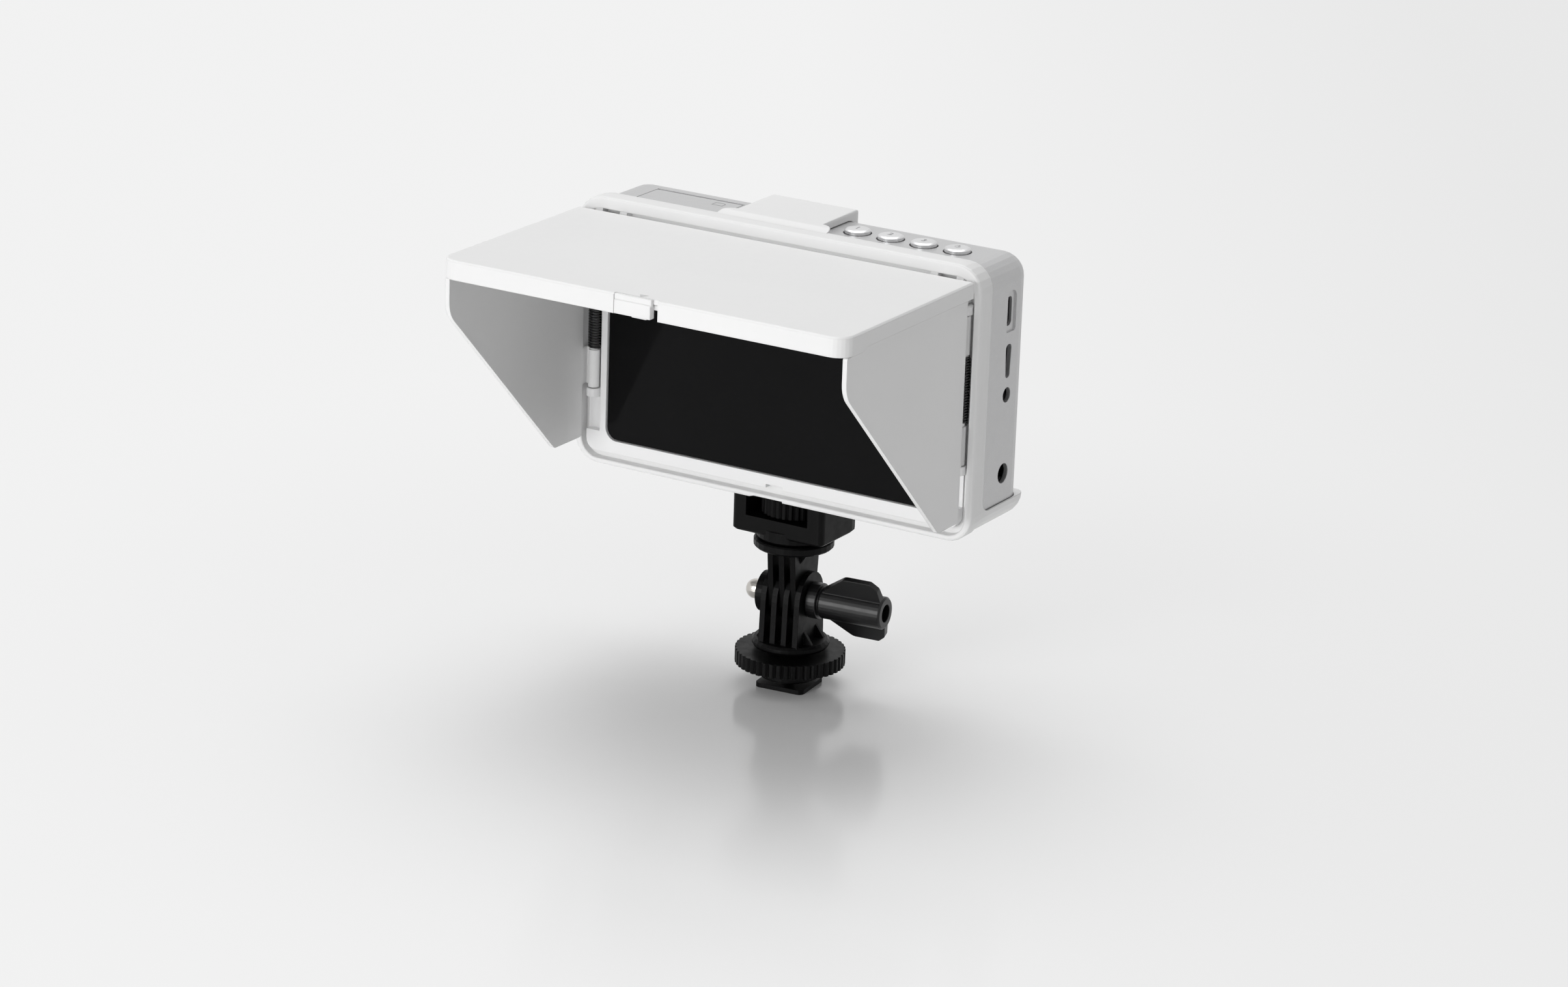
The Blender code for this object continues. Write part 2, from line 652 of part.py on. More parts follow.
def build_hinge(look, mount):
    """The lower and upper combs of the tilting hinge, with the bolt's cap nut."""
    neck = NECK_RADIUS
    disc = [
        (0, DISC_LOW - NECK_HEIGHT + GAP),
        (neck, DISC_LOW - NECK_HEIGHT + GAP),
        (neck, DISC_LOW),
        (BASE_DISC_RADIUS - 2 * GAP, DISC_LOW),
        (BASE_DISC_RADIUS, DISC_LOW + 3 * GAP),
        (BASE_DISC_RADIUS, DISC_TOP - 3 * GAP),
        (BASE_DISC_RADIUS - 3 * GAP, DISC_TOP),
        (0, DISC_TOP),
    ]
    base = make("tilt_base", turned(disc), look["mount_black"], mount)
    profile = finger_profile(BASE_KNUCKLE_RADIUS, BASE_FLARE, -BASE_REACH, BASE_DISC_HEIGHT / 2)
    join(base, fingers(BASE_FINGERS, profile))
    base_face = (BASE_FINGERS - 1) * FINGER_PITCH + FINGER_THICK / 2
    join(base, gussets(base_face, DISC_TOP, 1))
    boss_end = base_face + NUT_BOSS_LENGTH
    join(base, rod(NUT_BOSS_RADIUS, -boss_end, -base_face + FINGER_THICK / 2, "x", (0, HINGE_Z)))
    cut(base, rod(BOLT_RADIUS + RUN_GAP, -boss_end - GAP, base_face + GAP, "x", (0, HINGE_Z), 24))
    pocket = NUT_FLANGE_THICK + 2 * GAP
    cut(base, rod(NUT_FLANGE_RADIUS + GAP, -boss_end - GAP, -boss_end + pocket, "x", (0, HINGE_Z), 6))
    cut(base, rod(STUD_RADIUS + GAP, DISC_LOW - NECK_HEIGHT, DISC_LOW + STUD_GRIP + GAP, steps=24))

    yoke_disc = [
        (0, YOKE_LOW),
        (YOKE_DISC_RADIUS - 2 * GAP, YOKE_LOW),
        (YOKE_DISC_RADIUS, YOKE_LOW + 2 * GAP),
        (YOKE_DISC_RADIUS, YOKE_TOP - 2 * GAP),
        (YOKE_DISC_RADIUS - 2 * GAP, YOKE_TOP),
        (SPIGOT_RADIUS, YOKE_TOP),
        (SPIGOT_RADIUS, SWIVEL_FLOOR + GAP / 3),
        (0, SWIVEL_FLOOR + GAP / 3),
    ]
    yoke = make("tilt_yoke", turned(yoke_disc), look["mount_black"], mount)
    profile = finger_profile(YOKE_KNUCKLE_RADIUS, YOKE_FLARE, YOKE_REACH, YOKE_DISC_HEIGHT / 2)
    join(yoke, fingers(BASE_FINGERS - 1, profile))
    yoke_face = (BASE_FINGERS - 2) * FINGER_PITCH + FINGER_THICK / 2
    join(yoke, gussets(yoke_face, YOKE_LOW, -1))
    cut(yoke, rod(BOLT_RADIUS + RUN_GAP, -yoke_face - GAP, yoke_face + GAP, "x", (0, HINGE_Z), 24))
    screw_bore = SWIVEL_SCREW_RADIUS + GAP
    cut(yoke, rod(screw_bore, YOKE_TOP, SWIVEL_FLOOR + GAP, steps=SMALL_ROUND))

    flange_in = -boss_end + NUT_FLANGE_THICK + GAP
    flange_out = -boss_end + GAP
    nut = make(
        "cap_nut",
        rod(NUT_FLANGE_RADIUS, flange_out, flange_in, "x", (0, HINGE_Z), 6),
        look["steel"],
        mount,
    )
    dome = [(0, 0.0002)]
    for step in range(9):
        angle = math.pi / 2 * step / 8
        dome.append((NUT_RADIUS * math.cos(angle), -NUT_BARREL - NUT_RADIUS * math.sin(angle)))
    dome.insert(1, (NUT_RADIUS, 0.0002))
    join(nut, turned(dome, 24, "x", (flange_out, 0, HINGE_Z)))
    cut(nut, rod(BOLT_RADIUS + GAP, flange_out - NUT_BARREL / 2, flange_in + GAP, "x", (0, HINGE_Z), 24))
    return base_face, flange_out


def wing_outline(start, length):
    """A wing seen from its side: ramps up from the collar and is clipped at its end."""
    end = start + length
    return rounded([
        (start + WING_START, 0, 0),
        (start + WING_START, KNOB_RADIUS + GAP, 0),
        (start + WING_RAMP, WING_REACH, 0.0030),
        (end - 0.0034, WING_REACH, 0.0012),
        (end - 0.0008, WING_TIP, 0.0012),
        (end, KNOB_RADIUS, 0),
        (end, 0, 0),
    ], 3)


def build_knob(look, mount, base_face, nut_face):
    """The winged thumb knob and the bolt that it turns."""
    knob_frame = empty("knob_axis", (0, 0, HINGE_Z), mount)
    start = base_face + GAP
    neck = start + COLLAR_LENGTH
    end = neck + KNOB_LENGTH
    profile = [
        (0, start),
        (COLLAR_RADIUS - GAP, start),
        (COLLAR_RADIUS, start + GAP),
        (COLLAR_RADIUS, neck - KNOB_GROOVE),
        (KNOB_RADIUS - KNOB_GROOVE, neck - KNOB_GROOVE / 2),
        (KNOB_RADIUS - KNOB_GROOVE, neck),
        (KNOB_RADIUS, neck + KNOB_GROOVE),
        (KNOB_RADIUS, end - 2 * GAP),
        (KNOB_RADIUS - 2 * GAP, end),
        (0, end),
    ]
    knob = make("thumb_knob", turned(profile, ROUND, "x"), look["knob_black"], knob_frame)
    outline = wing_outline(neck, KNOB_LENGTH - 2 * GAP)
    mirrored = [Vector((u, -v)) for u, v in outline]
    lean = Matrix.Rotation(math.radians(WING_LEAN_DEG), 4, "X")
    for side in (outline, mirrored):
        wing = prism(side, -WING_THICK / 2, WING_THICK / 2, "y")
        for vert in wing.verts:
            vert.co.y *= 1 - WING_TAPER * abs(vert.co.z) / WING_REACH
        bmesh.ops.transform(wing, matrix=lean, verts=wing.verts)
        join(knob, wing)
    cut(knob, rod(BOLT_RADIUS + GAP, start - GAP, start + COLLAR_LENGTH + KNOB_RADIUS, "x", steps=24))
    cut(knob, rod(KNOB_BORE_RADIUS, end - KNOB_BORE_DEPTH, end + GAP, "x", steps=24))
    bolt_end = nut_face - NUT_BARREL / 2 + GAP
    make(
        "tilt_bolt",
        rod(BOLT_RADIUS, bolt_end, start + COLLAR_LENGTH + KNOB_RADIUS - GAP, "x", steps=24),
        look["steel"],
        knob_frame,
    )


def build_block(look, mount, block_frame):
    """The block that the monitor stands on, with its swivel screw and captive wheel."""
    make(
        "swivel_washer",
        turned([
            (SWIVEL_SCREW_RADIUS + GAP, SWIVEL_FLOOR + GAP),
            (WASHER_RADIUS, SWIVEL_FLOOR + GAP),
            (WASHER_RADIUS, SWIVEL_FLOOR + GAP + WASHER_THICK),
            (SWIVEL_SCREW_RADIUS + GAP, SWIVEL_FLOOR + GAP + WASHER_THICK),
            (SWIVEL_SCREW_RADIUS + GAP, SWIVEL_FLOOR + GAP),
        ], 24),
        look["steel"],
        mount,
    )
    head_low = SWIVEL_FLOOR + 2 * GAP + WASHER_THICK
    screw = [
        (0, YOKE_TOP + GAP),
        (SWIVEL_SCREW_RADIUS, YOKE_TOP + GAP),
        (SWIVEL_SCREW_RADIUS, head_low),
        (SWIVEL_HEAD_RADIUS, head_low),
        (SWIVEL_HEAD_RADIUS, head_low + SWIVEL_HEAD_HEIGHT),
        (0, head_low + SWIVEL_HEAD_HEIGHT),
    ]
    make("swivel_screw", turned(screw, SMALL_ROUND), look["steel"], mount)

    half = BLOCK_WIDTH / 2
    outline = rounded([
        (-half, -BLOCK_FRONT, BLOCK_FRONT_CORNER),
        (half, -BLOCK_FRONT, BLOCK_FRONT_CORNER),
        (half, BLOCK_BACK, BLOCK_BACK_CORNER),
        (-half, BLOCK_BACK, BLOCK_BACK_CORNER),
    ])
    middle = Vector((0, (BLOCK_BACK - BLOCK_FRONT) / 2))
    shrink = 1 - BLOCK_BEVEL / half
    low = [lift(middle + (point - middle) * shrink, BLOCK_LOW, "z") for point in outline]
    rings = [low]
    for height in (BLOCK_LOW + BLOCK_BEVEL, BLOCK_TOP):
        rings.append([lift(point, height, "z") for point in outline])
    block = make("mount_block", loft(rings), look["mount_black"], block_frame)
    boss = [
        (0, YOKE_TOP + GAP),
        (SWIVEL_BOSS_RADIUS - 2 * GAP, YOKE_TOP + GAP),
        (SWIVEL_BOSS_RADIUS, YOKE_TOP + 3 * GAP),
        (SWIVEL_BOSS_RADIUS, BLOCK_LOW + BLOCK_FLOOR / 3),
        (0, BLOCK_LOW + BLOCK_FLOOR / 3),
    ]
    join(block, turned(boss))
    pocket_half = THUMB_WHEEL_RADIUS + 2 * GAP
    slot = [Vector((-pocket_half, -BLOCK_FRONT - GAP)), Vector((pocket_half, -BLOCK_FRONT - GAP))]
    for step in range(13):
        angle = math.pi * step / 12
        slot.append(Vector((pocket_half * math.cos(angle), pocket_half * math.sin(angle))))
    cut(block, prism(slot, WHEEL_FLOOR, BLOCK_TOP - BLOCK_ROOF))
    cut(block, rod(WASHER_RADIUS + 2 * GAP, SWIVEL_FLOOR, WHEEL_FLOOR + GAP))
    cut(block, rod(SPIGOT_RADIUS + RUN_GAP, YOKE_TOP, SWIVEL_FLOOR + GAP))
    cut(block, rod(MOUNT_STUD_RADIUS + 2 * GAP, BLOCK_TOP - 2 * BLOCK_ROOF, BLOCK_TOP + GAP, steps=24))

    wheel_top = THUMB_WHEEL_LOW + THUMB_WHEEL_HEIGHT
    wheel = make(
        "block_wheel",
        prism(
            ribbed(THUMB_WHEEL_RADIUS, THUMB_WHEEL_RIB_DEPTH, THUMB_WHEEL_RIBS, 0.40),
            THUMB_WHEEL_LOW,
            wheel_top,
        ),
        look["mount_black"],
        block_frame,
    )
    cut(wheel, rod(MOUNT_STUD_RADIUS + GAP, THUMB_WHEEL_LOW - GAP, wheel_top + GAP, steps=24))
    stud_top = MONITOR_Z + SHELL_BOTTOM + MOUNT_STUD_GRIP
    make(
        "mount_stud",
        rod(MOUNT_STUD_RADIUS, THUMB_WHEEL_LOW + GAP, stud_top, steps=24),
        look["steel"],
        block_frame,
    )
    pad_low = BLOCK_TOP + GAP
    pad_top = MONITOR_Z + SHELL_BOTTOM - GAP
    pad_front = FRAME_DEPTH + 2 * GAP - MONITOR_SETBACK
    pad_half = PAD_WIDTH / 2
    pad = make(
        "block_pad",
        prism(rectangle(-pad_half, pad_half, pad_front, BLOCK_BACK - 4 * GAP, 0.003), pad_low, pad_top),
        look["pad_rubber"],
        block_frame,
    )
    cut(pad, rod(MOUNT_STUD_RADIUS + 3 * GAP, pad_low - GAP, pad_top + GAP, steps=24))


def frame_rings():
    """Rings round the hood frame's cross-section: outer face, seat, flange and inner face."""
    def outer(y, inset):
        """A ring on the outside of the frame."""
        return ring(y, FRAME_HALF - inset, inset, FRAME_HEIGHT - inset, FRAME_CORNER - inset)

    flange = RIM_SIDE + FLANGE_WIDTH
    flange_ring = (RIM_HALF - FLANGE_WIDTH, RIM_BOTTOM + FLANGE_WIDTH, RIM_ROOF - FLANGE_WIDTH)
    round_in = FRAME_CORNER - RIM_SIDE
    return [
        outer(0, FRAME_EDGE),
        outer(FRAME_EDGE * 0.29, FRAME_EDGE * 0.29),
        outer(FRAME_EDGE, 0),
        outer(FRAME_STEP_Y - GAP, 0),
        outer(FRAME_STEP_Y, FRAME_STEP),
        outer(FRAME_DEPTH - GAP, FRAME_STEP),
        outer(FRAME_DEPTH, FRAME_STEP + GAP),
        ring(FRAME_DEPTH, *flange_ring, FRAME_CORNER - flange),
        ring(CHANNEL_DEPTH, *flange_ring, FRAME_CORNER - flange),
        ring(CHANNEL_DEPTH, RIM_HALF, RIM_BOTTOM, RIM_ROOF, round_in),
        ring(GAP, RIM_HALF, RIM_BOTTOM, RIM_ROOF, round_in),
        ring(0, RIM_HALF + GAP, RIM_BOTTOM - GAP, RIM_ROOF + GAP, round_in + GAP),
    ]


def body_rings(grow, front):
    """Rings of the silver body's outside, or of a surface a wall inside or a gap outside it."""
    radius = SHELL_BACK_RADIUS + grow
    rings = [ring(front, SHELL_HALF + grow, SHELL_BOTTOM - grow, SHELL_TOP + grow, SHELL_CORNER + grow)]
    steps = 5
    for step in range(steps + 1):
        angle = math.pi / 2 * step / steps
        inset = radius * (1 - math.cos(angle)) - grow
        y = SHELL_REAR + grow - radius + radius * math.sin(angle)
        corner = SHELL_CORNER - inset
        rings.append(ring(y, SHELL_HALF - inset, SHELL_BOTTOM + inset, SHELL_TOP - inset, corner))
    return rings


def corner_cup(side):
    """The pocket at a bottom corner that holds the body, as a solid before it is hollowed."""
    bm = bmesh.new()
    root = FRAME_STEP_Y + GAP
    fillet = CUP_FILLET
    outline = [Vector((root, -GAP)), Vector((CUP_DEPTH + GAP, -GAP)), Vector((CUP_DEPTH + GAP, CUP_HEIGHT))]
    for step in range(7):
        angle = math.pi / 2 * step / 6
        y = FRAME_DEPTH + fillet - fillet * math.sin(angle)
        outline.append(Vector((y, CUP_HEIGHT + fillet - fillet * math.cos(angle))))
    outline.append(Vector((root, CUP_HEIGHT + fillet)))
    inner = FRAME_HALF - CUP_WIDTH
    ends = sorted((side * inner, side * (FRAME_HALF + GAP)))
    return prism(outline, *ends, "x", bm)


def cup_envelope():
    """The outside of both cups: the frame's outline carried back and rounded at the rear."""
    radius = CUP_BACK_RADIUS
    inset = FRAME_STEP + GAP / 3
    rings = []
    start = FRAME_DEPTH - 4 * GAP

    def outer(y, extra):
        """One ring of the envelope."""
        grow = inset + extra
        return ring(y, FRAME_HALF - grow, grow, FRAME_HEIGHT - grow, FRAME_CORNER - grow)

    rings.append(outer(start, 0))
    for step in range(5):
        angle = math.pi / 2 * step / 4
        rings.append(outer(CUP_DEPTH - radius + radius * math.sin(angle), radius * (1 - math.cos(angle))))
    return loft(rings)


def clip_side():
    """The clip seen from the side, from the band to the back of the body."""
    top = SHELL_TOP + CLIP_THICK
    side_view = rounded([
        (FRAME_STEP_Y + GAP, SHELL_TOP - CLIP_HOOK, 0),
        (CUP_DEPTH, SHELL_TOP - CLIP_HOOK, 0.0006),
        (CUP_DEPTH, top, CLIP_CORNER),
        (FRAME_DEPTH + CLIP_RISE, top - GAP, CLIP_RISE),
        (FRAME_STEP_Y + GAP, FRAME_HEIGHT - FRAME_STEP - GAP, 0),
    ])
    return prism(side_view, CLIP_LEFT - CLIP_SWEEP, CLIP_RIGHT + CLIP_SWEEP, "x")


def clip_plan(inset):
    """The clip's outline from above, drawn in by an inset: flared where it leaves the band."""
    front = FRAME_STEP_Y - GAP
    sweep = CLIP_SWEEP
    left, right = CLIP_LEFT + inset, CLIP_RIGHT - inset
    flare = []
    for step in range(6):
        angle = math.pi / 2 * step / 5
        flare.append((sweep * math.sin(angle), FRAME_DEPTH + sweep * math.cos(angle)))
    left_flare = [Vector((left - out, y)) for out, y in flare][::-1]
    right_flare = [Vector((right + out, y)) for out, y in flare]
    back = rounded([
        (left, CUP_DEPTH - sweep, 0),
        (left, CUP_DEPTH + GAP - inset, CLIP_CORNER),
        (right, CUP_DEPTH + GAP - inset, CLIP_CORNER),
        (right, CUP_DEPTH - sweep, 0),
    ])
    return [*left_flare, *back, *right_flare, Vector((right + sweep, front)), Vector((left - sweep, front))]


def clip_form():
    """The clip's full form from above, its upper edges rounded."""
    top = SHELL_TOP + CLIP_THICK + GAP
    rings = [[lift(point, SHELL_TOP - 2 * CLIP_HOOK, "z") for point in clip_plan(0)]]
    for step in range(4):
        angle = math.pi / 2 * step / 3
        height = top - CLIP_EDGE + CLIP_EDGE * math.sin(angle)
        inset = CLIP_EDGE * (1 - math.cos(angle))
        rings.append([lift(point, height, "z") for point in clip_plan(inset)])
    return loft(rings)


def build_hood_frame(look, monitor):
    """The white frame round the screen, with the parts that clip it onto the body."""
    frame = make("hood_frame", loft(frame_rings(), closed=True), look["hood_white"], monitor)
    cups = make("hood_frame_cups", corner_cup(-1), look["hood_white"], monitor)
    join(cups, corner_cup(1))
    shape(cups, cup_envelope(), "INTERSECT")
    clip = make("hood_frame_clip", clip_side(), look["hood_white"], monitor)
    shape(clip, clip_form(), "INTERSECT")
    for helper in (cups, clip):
        helper.hide_render = True
        helper.display_type = "WIRE"
        step = frame.modifiers.new(helper.name, "BOOLEAN")
        step.operation = "UNION"
        step.solver = "EXACT"
        step.object = helper
    cut(frame, loft(body_rings(GAP, SEAT_Y)))
    ears = bmesh.new()
    for side in (-1, 1):
        for inner in (LID_ARM_INNER - GAP - LID_EAR_WIDTH, LID_ARM_INNER + LID_ARM_WIDTH + GAP):
            ends = sorted((side * inner, side * (inner + LID_EAR_WIDTH)))
            prism(ear_outline(), *ends, "x", ears)
    join(frame, ears)
    holes = bmesh.new()
    reach = LID_ARM_INNER + LID_ARM_WIDTH + LID_EAR_WIDTH + 2 * GAP
    for side in (-1, 1):
        ends = sorted((side * (LID_ARM_INNER - 2 * LID_EAR_WIDTH), side * reach))
        rod(LID_PIN_RADIUS + RUN_GAP, *ends, "x", (LID_PIVOT_Y, LID_PIVOT_Z), SMALL_ROUND, holes)
    cut(frame, holes)
    notch = [
        Vector((NOTCH_LEFT - NOTCH_RAMP, -GAP)),
        Vector((NOTCH_RIGHT, -GAP)),
        Vector((NOTCH_RIGHT, NOTCH_DEPTH)),
        Vector((NOTCH_LEFT, NOTCH_DEPTH)),
    ]
    cut(frame, prism(notch, -GAP, CHANNEL_DEPTH - 2 * GAP, "y"))


def ear_outline():
    """A hinge ear seen from the side: hangs from the rim's roof round the lid's pin."""
    radius = LID_BARREL
    outline = []
    for step in range(9):
        angle = math.pi + math.pi * step / 8
        reach, rise = radius * math.cos(angle), radius * math.sin(angle)
        outline.append(Vector((LID_PIVOT_Y + reach, LID_PIVOT_Z + rise)))
    roof = RIM_ROOF + 2 * GAP
    outline.append(Vector((CHANNEL_DEPTH + GAP, LID_PIVOT_Z)))
    outline.append(Vector((CHANNEL_DEPTH + GAP, roof)))
    outline.append(Vector((max(LID_PIVOT_Y - radius, 2 * GAP), roof)))
    outline.append(Vector((LID_PIVOT_Y - radius, LID_PIVOT_Z + radius)))
    return outline


def build_screen(look, monitor):
    """The white bezel with its hinge lugs, and the glass, panel and backlight behind it."""
    bezel = make(
        "screen_bezel",
        prism(
            rectangle(-BEZEL_HALF, BEZEL_HALF, BEZEL_BOTTOM, BEZEL_TOP, BEZEL_CORNER),
            0,
            BEZEL_THICK,
            "y",
        ),
        look["bezel_white"],
        monitor,
    )
    window = rectangle(-WINDOW_HALF, WINDOW_HALF, WINDOW_BOTTOM, WINDOW_TOP, WINDOW_CORNER)
    cut(bezel, prism(window, -GAP, BEZEL_THICK + GAP, "y"))
    trough = SPRING_RADIUS + SPRING_WIRE + TROUGH_CLEARANCE
    high = HINGE_HIGH_LUG + HINGE_LUG_HEIGHT
    troughs = bmesh.new()
    sides = bmesh.new()
    lugs = bmesh.new()
    bores = bmesh.new()
    for x in (-LEFT_HINGE_X, RIGHT_HINGE_X):
        rod(trough, TROUGH_BOTTOM, high + 2 * GAP, "z", (x, 0), 24, troughs)
        plan = lug_plan(x)
        for low in (HINGE_LOW_LUG, HINGE_HIGH_LUG):
            prism(plan, low, low + HINGE_LUG_HEIGHT, "z", lugs)
        edge_low, edge_high = sorted((x, math.copysign(BEZEL_HALF + GAP, x)))
        box(edge_low, edge_high, -GAP, trough * 0.6, TROUGH_BOTTOM, high + 2 * GAP, sides)
        bore = FLAP_PIN_RADIUS + RUN_GAP
        rod(bore, HINGE_LOW_LUG + HINGE_LUG_HEIGHT / 3, high + GAP, "z", (x, 0), SMALL_ROUND, bores)
    cut(bezel, troughs)
    cut(bezel, sides)
    join(bezel, lugs)
    cut(bezel, bores)
    catch_top = BEZEL_BOTTOM + CATCH_HEIGHT
    cut(bezel, box(CATCH_LEFT, CATCH_RIGHT, -GAP, BEZEL_THICK - 2 * GAP, BEZEL_BOTTOM - GAP, catch_top))

    glass = rectangle(
        -WINDOW_HALF + GAP,
        WINDOW_HALF - GAP,
        WINDOW_BOTTOM + GAP,
        WINDOW_TOP - GAP,
        WINDOW_CORNER - GAP,
    )
    make("cover_glass", prism(glass, GLASS_SET, GLASS_SET + GLASS_THICK, "y"), look["glass_black"], monitor)
    half = WINDOW_HALF + PANEL_MARGIN
    panel = rectangle(-half, half, WINDOW_BOTTOM - PANEL_MARGIN, WINDOW_TOP + PANEL_MARGIN / 2, 0.001)
    panel_y = BEZEL_THICK + GAP
    make("lcd_panel", prism(panel, panel_y, panel_y + PANEL_THICK, "y"), look["panel_black"], monitor)
    light_y = panel_y + PANEL_THICK + GAP
    make(
        "backlight",
        prism(panel, light_y, light_y + BACKLIGHT_THICK, "y"),
        look["backlight_white"],
        monitor,
    )


def lug_plan(x):
    """A hinge lug seen from above: round at the pin, with a root that runs into the bezel."""
    side = math.copysign(1, x)
    back = BEZEL_THICK - GAP / 2
    inner = -2 * LUG_RADIUS
    outline = [(inner, GAP), (inner, back), (0, back)]
    last = math.pi * 1.5 + math.asin(GAP / LUG_RADIUS)
    for step in range(19):
        angle = math.pi / 2 - last * step / 18
        outline.append((LUG_RADIUS * math.cos(angle), LUG_RADIUS * math.sin(angle)))
    return [Vector((x + side * u, v)) for u, v in outline]


def port_cuts():
    """The holes for the sockets in the right side."""
    bm = bmesh.new()
    side_in = SHELL_HALF - SHELL_WALL - GAP
    side_out = SHELL_HALF + GAP
    usb = rectangle(
        PORT_Y - USB_WIDE / 2,
        PORT_Y + USB_WIDE / 2,
        USB_Z - USB_LONG / 2,
        USB_Z + USB_LONG / 2,
        USB_WIDE / 2 - GAP,
        3,
    )
    prism(usb, side_in, side_out, "x", bm)
    prism(hdmi_outline(0), side_in, side_out, "x", bm)
    rod(AUDIO_RADIUS, side_in, side_out, "x", (PORT_Y, AUDIO_Z), 24, bm)
    rod(DC_RADIUS, side_in, side_out, "x", (PORT_Y, DC_Z), 24, bm)
    return bm


def hdmi_outline(grow):
    """The tapered outline of the video socket, wider at its upper end."""
    low, high = HDMI_Z - HDMI_LONG / 2 - grow, HDMI_Z + HDMI_LONG / 2 + grow
    wide, narrow = HDMI_WIDE / 2 + grow, HDMI_NARROW / 2 + grow
    return rounded([
        (PORT_Y - narrow, low, 0.0011),
        (PORT_Y + narrow, low, 0.0011),
        (PORT_Y + wide, high, 0.0016),
        (PORT_Y - wide, high, 0.0016),
    ], 3)


def build_shell(look, monitor):
    """The silver body: a deep tray with a rounded back, its ports, vents and top holes."""
    outside = body_rings(0, SHELL_FRONT)
    inside = body_rings(-SHELL_WALL, SHELL_FRONT)
    shell = make("rear_shell", loft(outside[::-1] + inside), look["body_silver"], monitor)
    bosses = bmesh.new()
    holes = bmesh.new()
    heads = bmesh.new()
    board_back = BOARD_Y + BOARD_THICK + GAP
    for x in (-SCREW_X, SCREW_X):
        for z in (SCREW_LOW, SCREW_HIGH):
            rod(BOSS_RADIUS, board_back, SHELL_REAR - SHELL_WALL / 2, "y", (x, z), SMALL_ROUND, bosses)
            rod(SCREW_RADIUS + GAP, board_back - GAP, SHELL_REAR + GAP, "y", (x, z), SMALL_ROUND, holes)
            head_floor = SHELL_REAR - SCREW_HEAD_HEIGHT - GAP
            rod(SCREW_HEAD + GAP, head_floor, SHELL_REAR + GAP, "y", (x, z), SMALL_ROUND, heads)
    join(shell, bosses)
    cut(shell, holes)
    cut(shell, heads)
    cut(shell, port_cuts())
    margin = USB_RECESS_MARGIN
    recess = rounded([
        (PORT_Y - USB_WIDE / 2 - GAP, USB_Z - USB_LONG / 2 - margin, 0.0006),
        (PORT_Y + USB_WIDE / 2 + margin, USB_Z - USB_LONG / 2 - margin, 0.0010),
        (PORT_Y + USB_WIDE / 2 + margin, USB_Z + USB_LONG / 2 + margin, 0.0030),
        (PORT_Y - USB_WIDE / 2 - GAP, USB_Z + USB_LONG / 2 + margin, 0.0030),
    ], 4)
    cut(shell, prism(recess, SHELL_HALF - USB_RECESS, SHELL_HALF + GAP, "x"))
    tops = bmesh.new()
    for index in range(BUTTON_COUNT):
        x = BUTTON_FIRST_X + index * BUTTON_PITCH
        rod(BUTTON_RADIUS + GAP, SHELL_TOP - 2 * SHELL_WALL, SHELL_TOP + GAP, "z", (x, BUTTON_Y), 24, tops)
    cut(shell, tops)
    join(shell, cover_tray(COVER_BACK))
    cut(shell, prism(cover_outline(GAP, COVER_BACK), SHELL_TOP - COVER_THICK - GAP, SHELL_TOP + GAP))
    cut(shell, rod(
        COVER_PIN_RADIUS + RUN_GAP,
        COVER_LEFT - COVER_PIN_GRIP - GAP,
        COVER_RIGHT + COVER_PIN_GRIP + GAP,
        "x",
        (COVER_HINGE_Y, COVER_HINGE_Z),
        8,
    ))
    card_x = (COVER_LEFT + COVER_RIGHT) / 2
    card_y = BOARD_Y - GAP - CARD_SOCKET_WALL - CARD_THICK / 2
    slot_half, slot_deep = CARD_WIDTH / 2 + GAP, CARD_THICK / 2 + GAP
    tray_low = SHELL_TOP - COVER_THICK - GAP - SHELL_WALL - GAP
    cut(shell, box(
        card_x - slot_half,
        card_x + slot_half,
        card_y - slot_deep,
        card_y + slot_deep,
        tray_low,
        SHELL_TOP,
    ))
    cut(shell, rod(
        INSERT_WALL + MOUNT_STUD_RADIUS + 2 * GAP,
        SHELL_BOTTOM - GAP,
        SHELL_BOTTOM + SHELL_WALL + GAP,
        "z",
        (0, MONITOR_SETBACK),
        24,
    ))
    vents = bmesh.new()
    vent_z = SHELL_BOTTOM + (SHELL_TOP - SHELL_BOTTOM) * VENT_HEIGHT_SHARE
    for index in range(VENT_COUNT):
        x = (index - (VENT_COUNT - 1) / 2) * VENT_PITCH
        slot = rectangle(
            x - VENT_WIDTH / 2,
            x + VENT_WIDTH / 2,
            vent_z - VENT_LENGTH / 2,
            vent_z + VENT_LENGTH / 2,
            VENT_WIDTH / 2 - GAP / 3,
            3,
        )
        prism(slot, SHELL_REAR - 2 * SHELL_WALL, SHELL_REAR + GAP, "y", vents)
    cut(shell, vents)


def cover_outline(grow, back):
    """The card cover seen from above; grow makes the pocket that it lies in."""
    return rounded([
        (COVER_LEFT - grow, COVER_FRONT - grow, COVER_CORNER + grow),
        (COVER_RIGHT + grow, COVER_FRONT - grow, COVER_CORNER + grow),
        (COVER_RIGHT + grow, back + grow, 0),
        (COVER_LEFT - grow, back + grow, 0),
    ])


def cover_tray(back):
    """The floor and walls under the card cover, on the inside of the top wall."""
    low = SHELL_TOP - COVER_THICK - GAP - SHELL_WALL
    wall = SHELL_WALL
    return box(
        COVER_LEFT - wall,
        COVER_RIGHT + wall,
        COVER_FRONT - wall,
        back + wall,
        low,
        SHELL_TOP - SHELL_WALL / 2,
    )


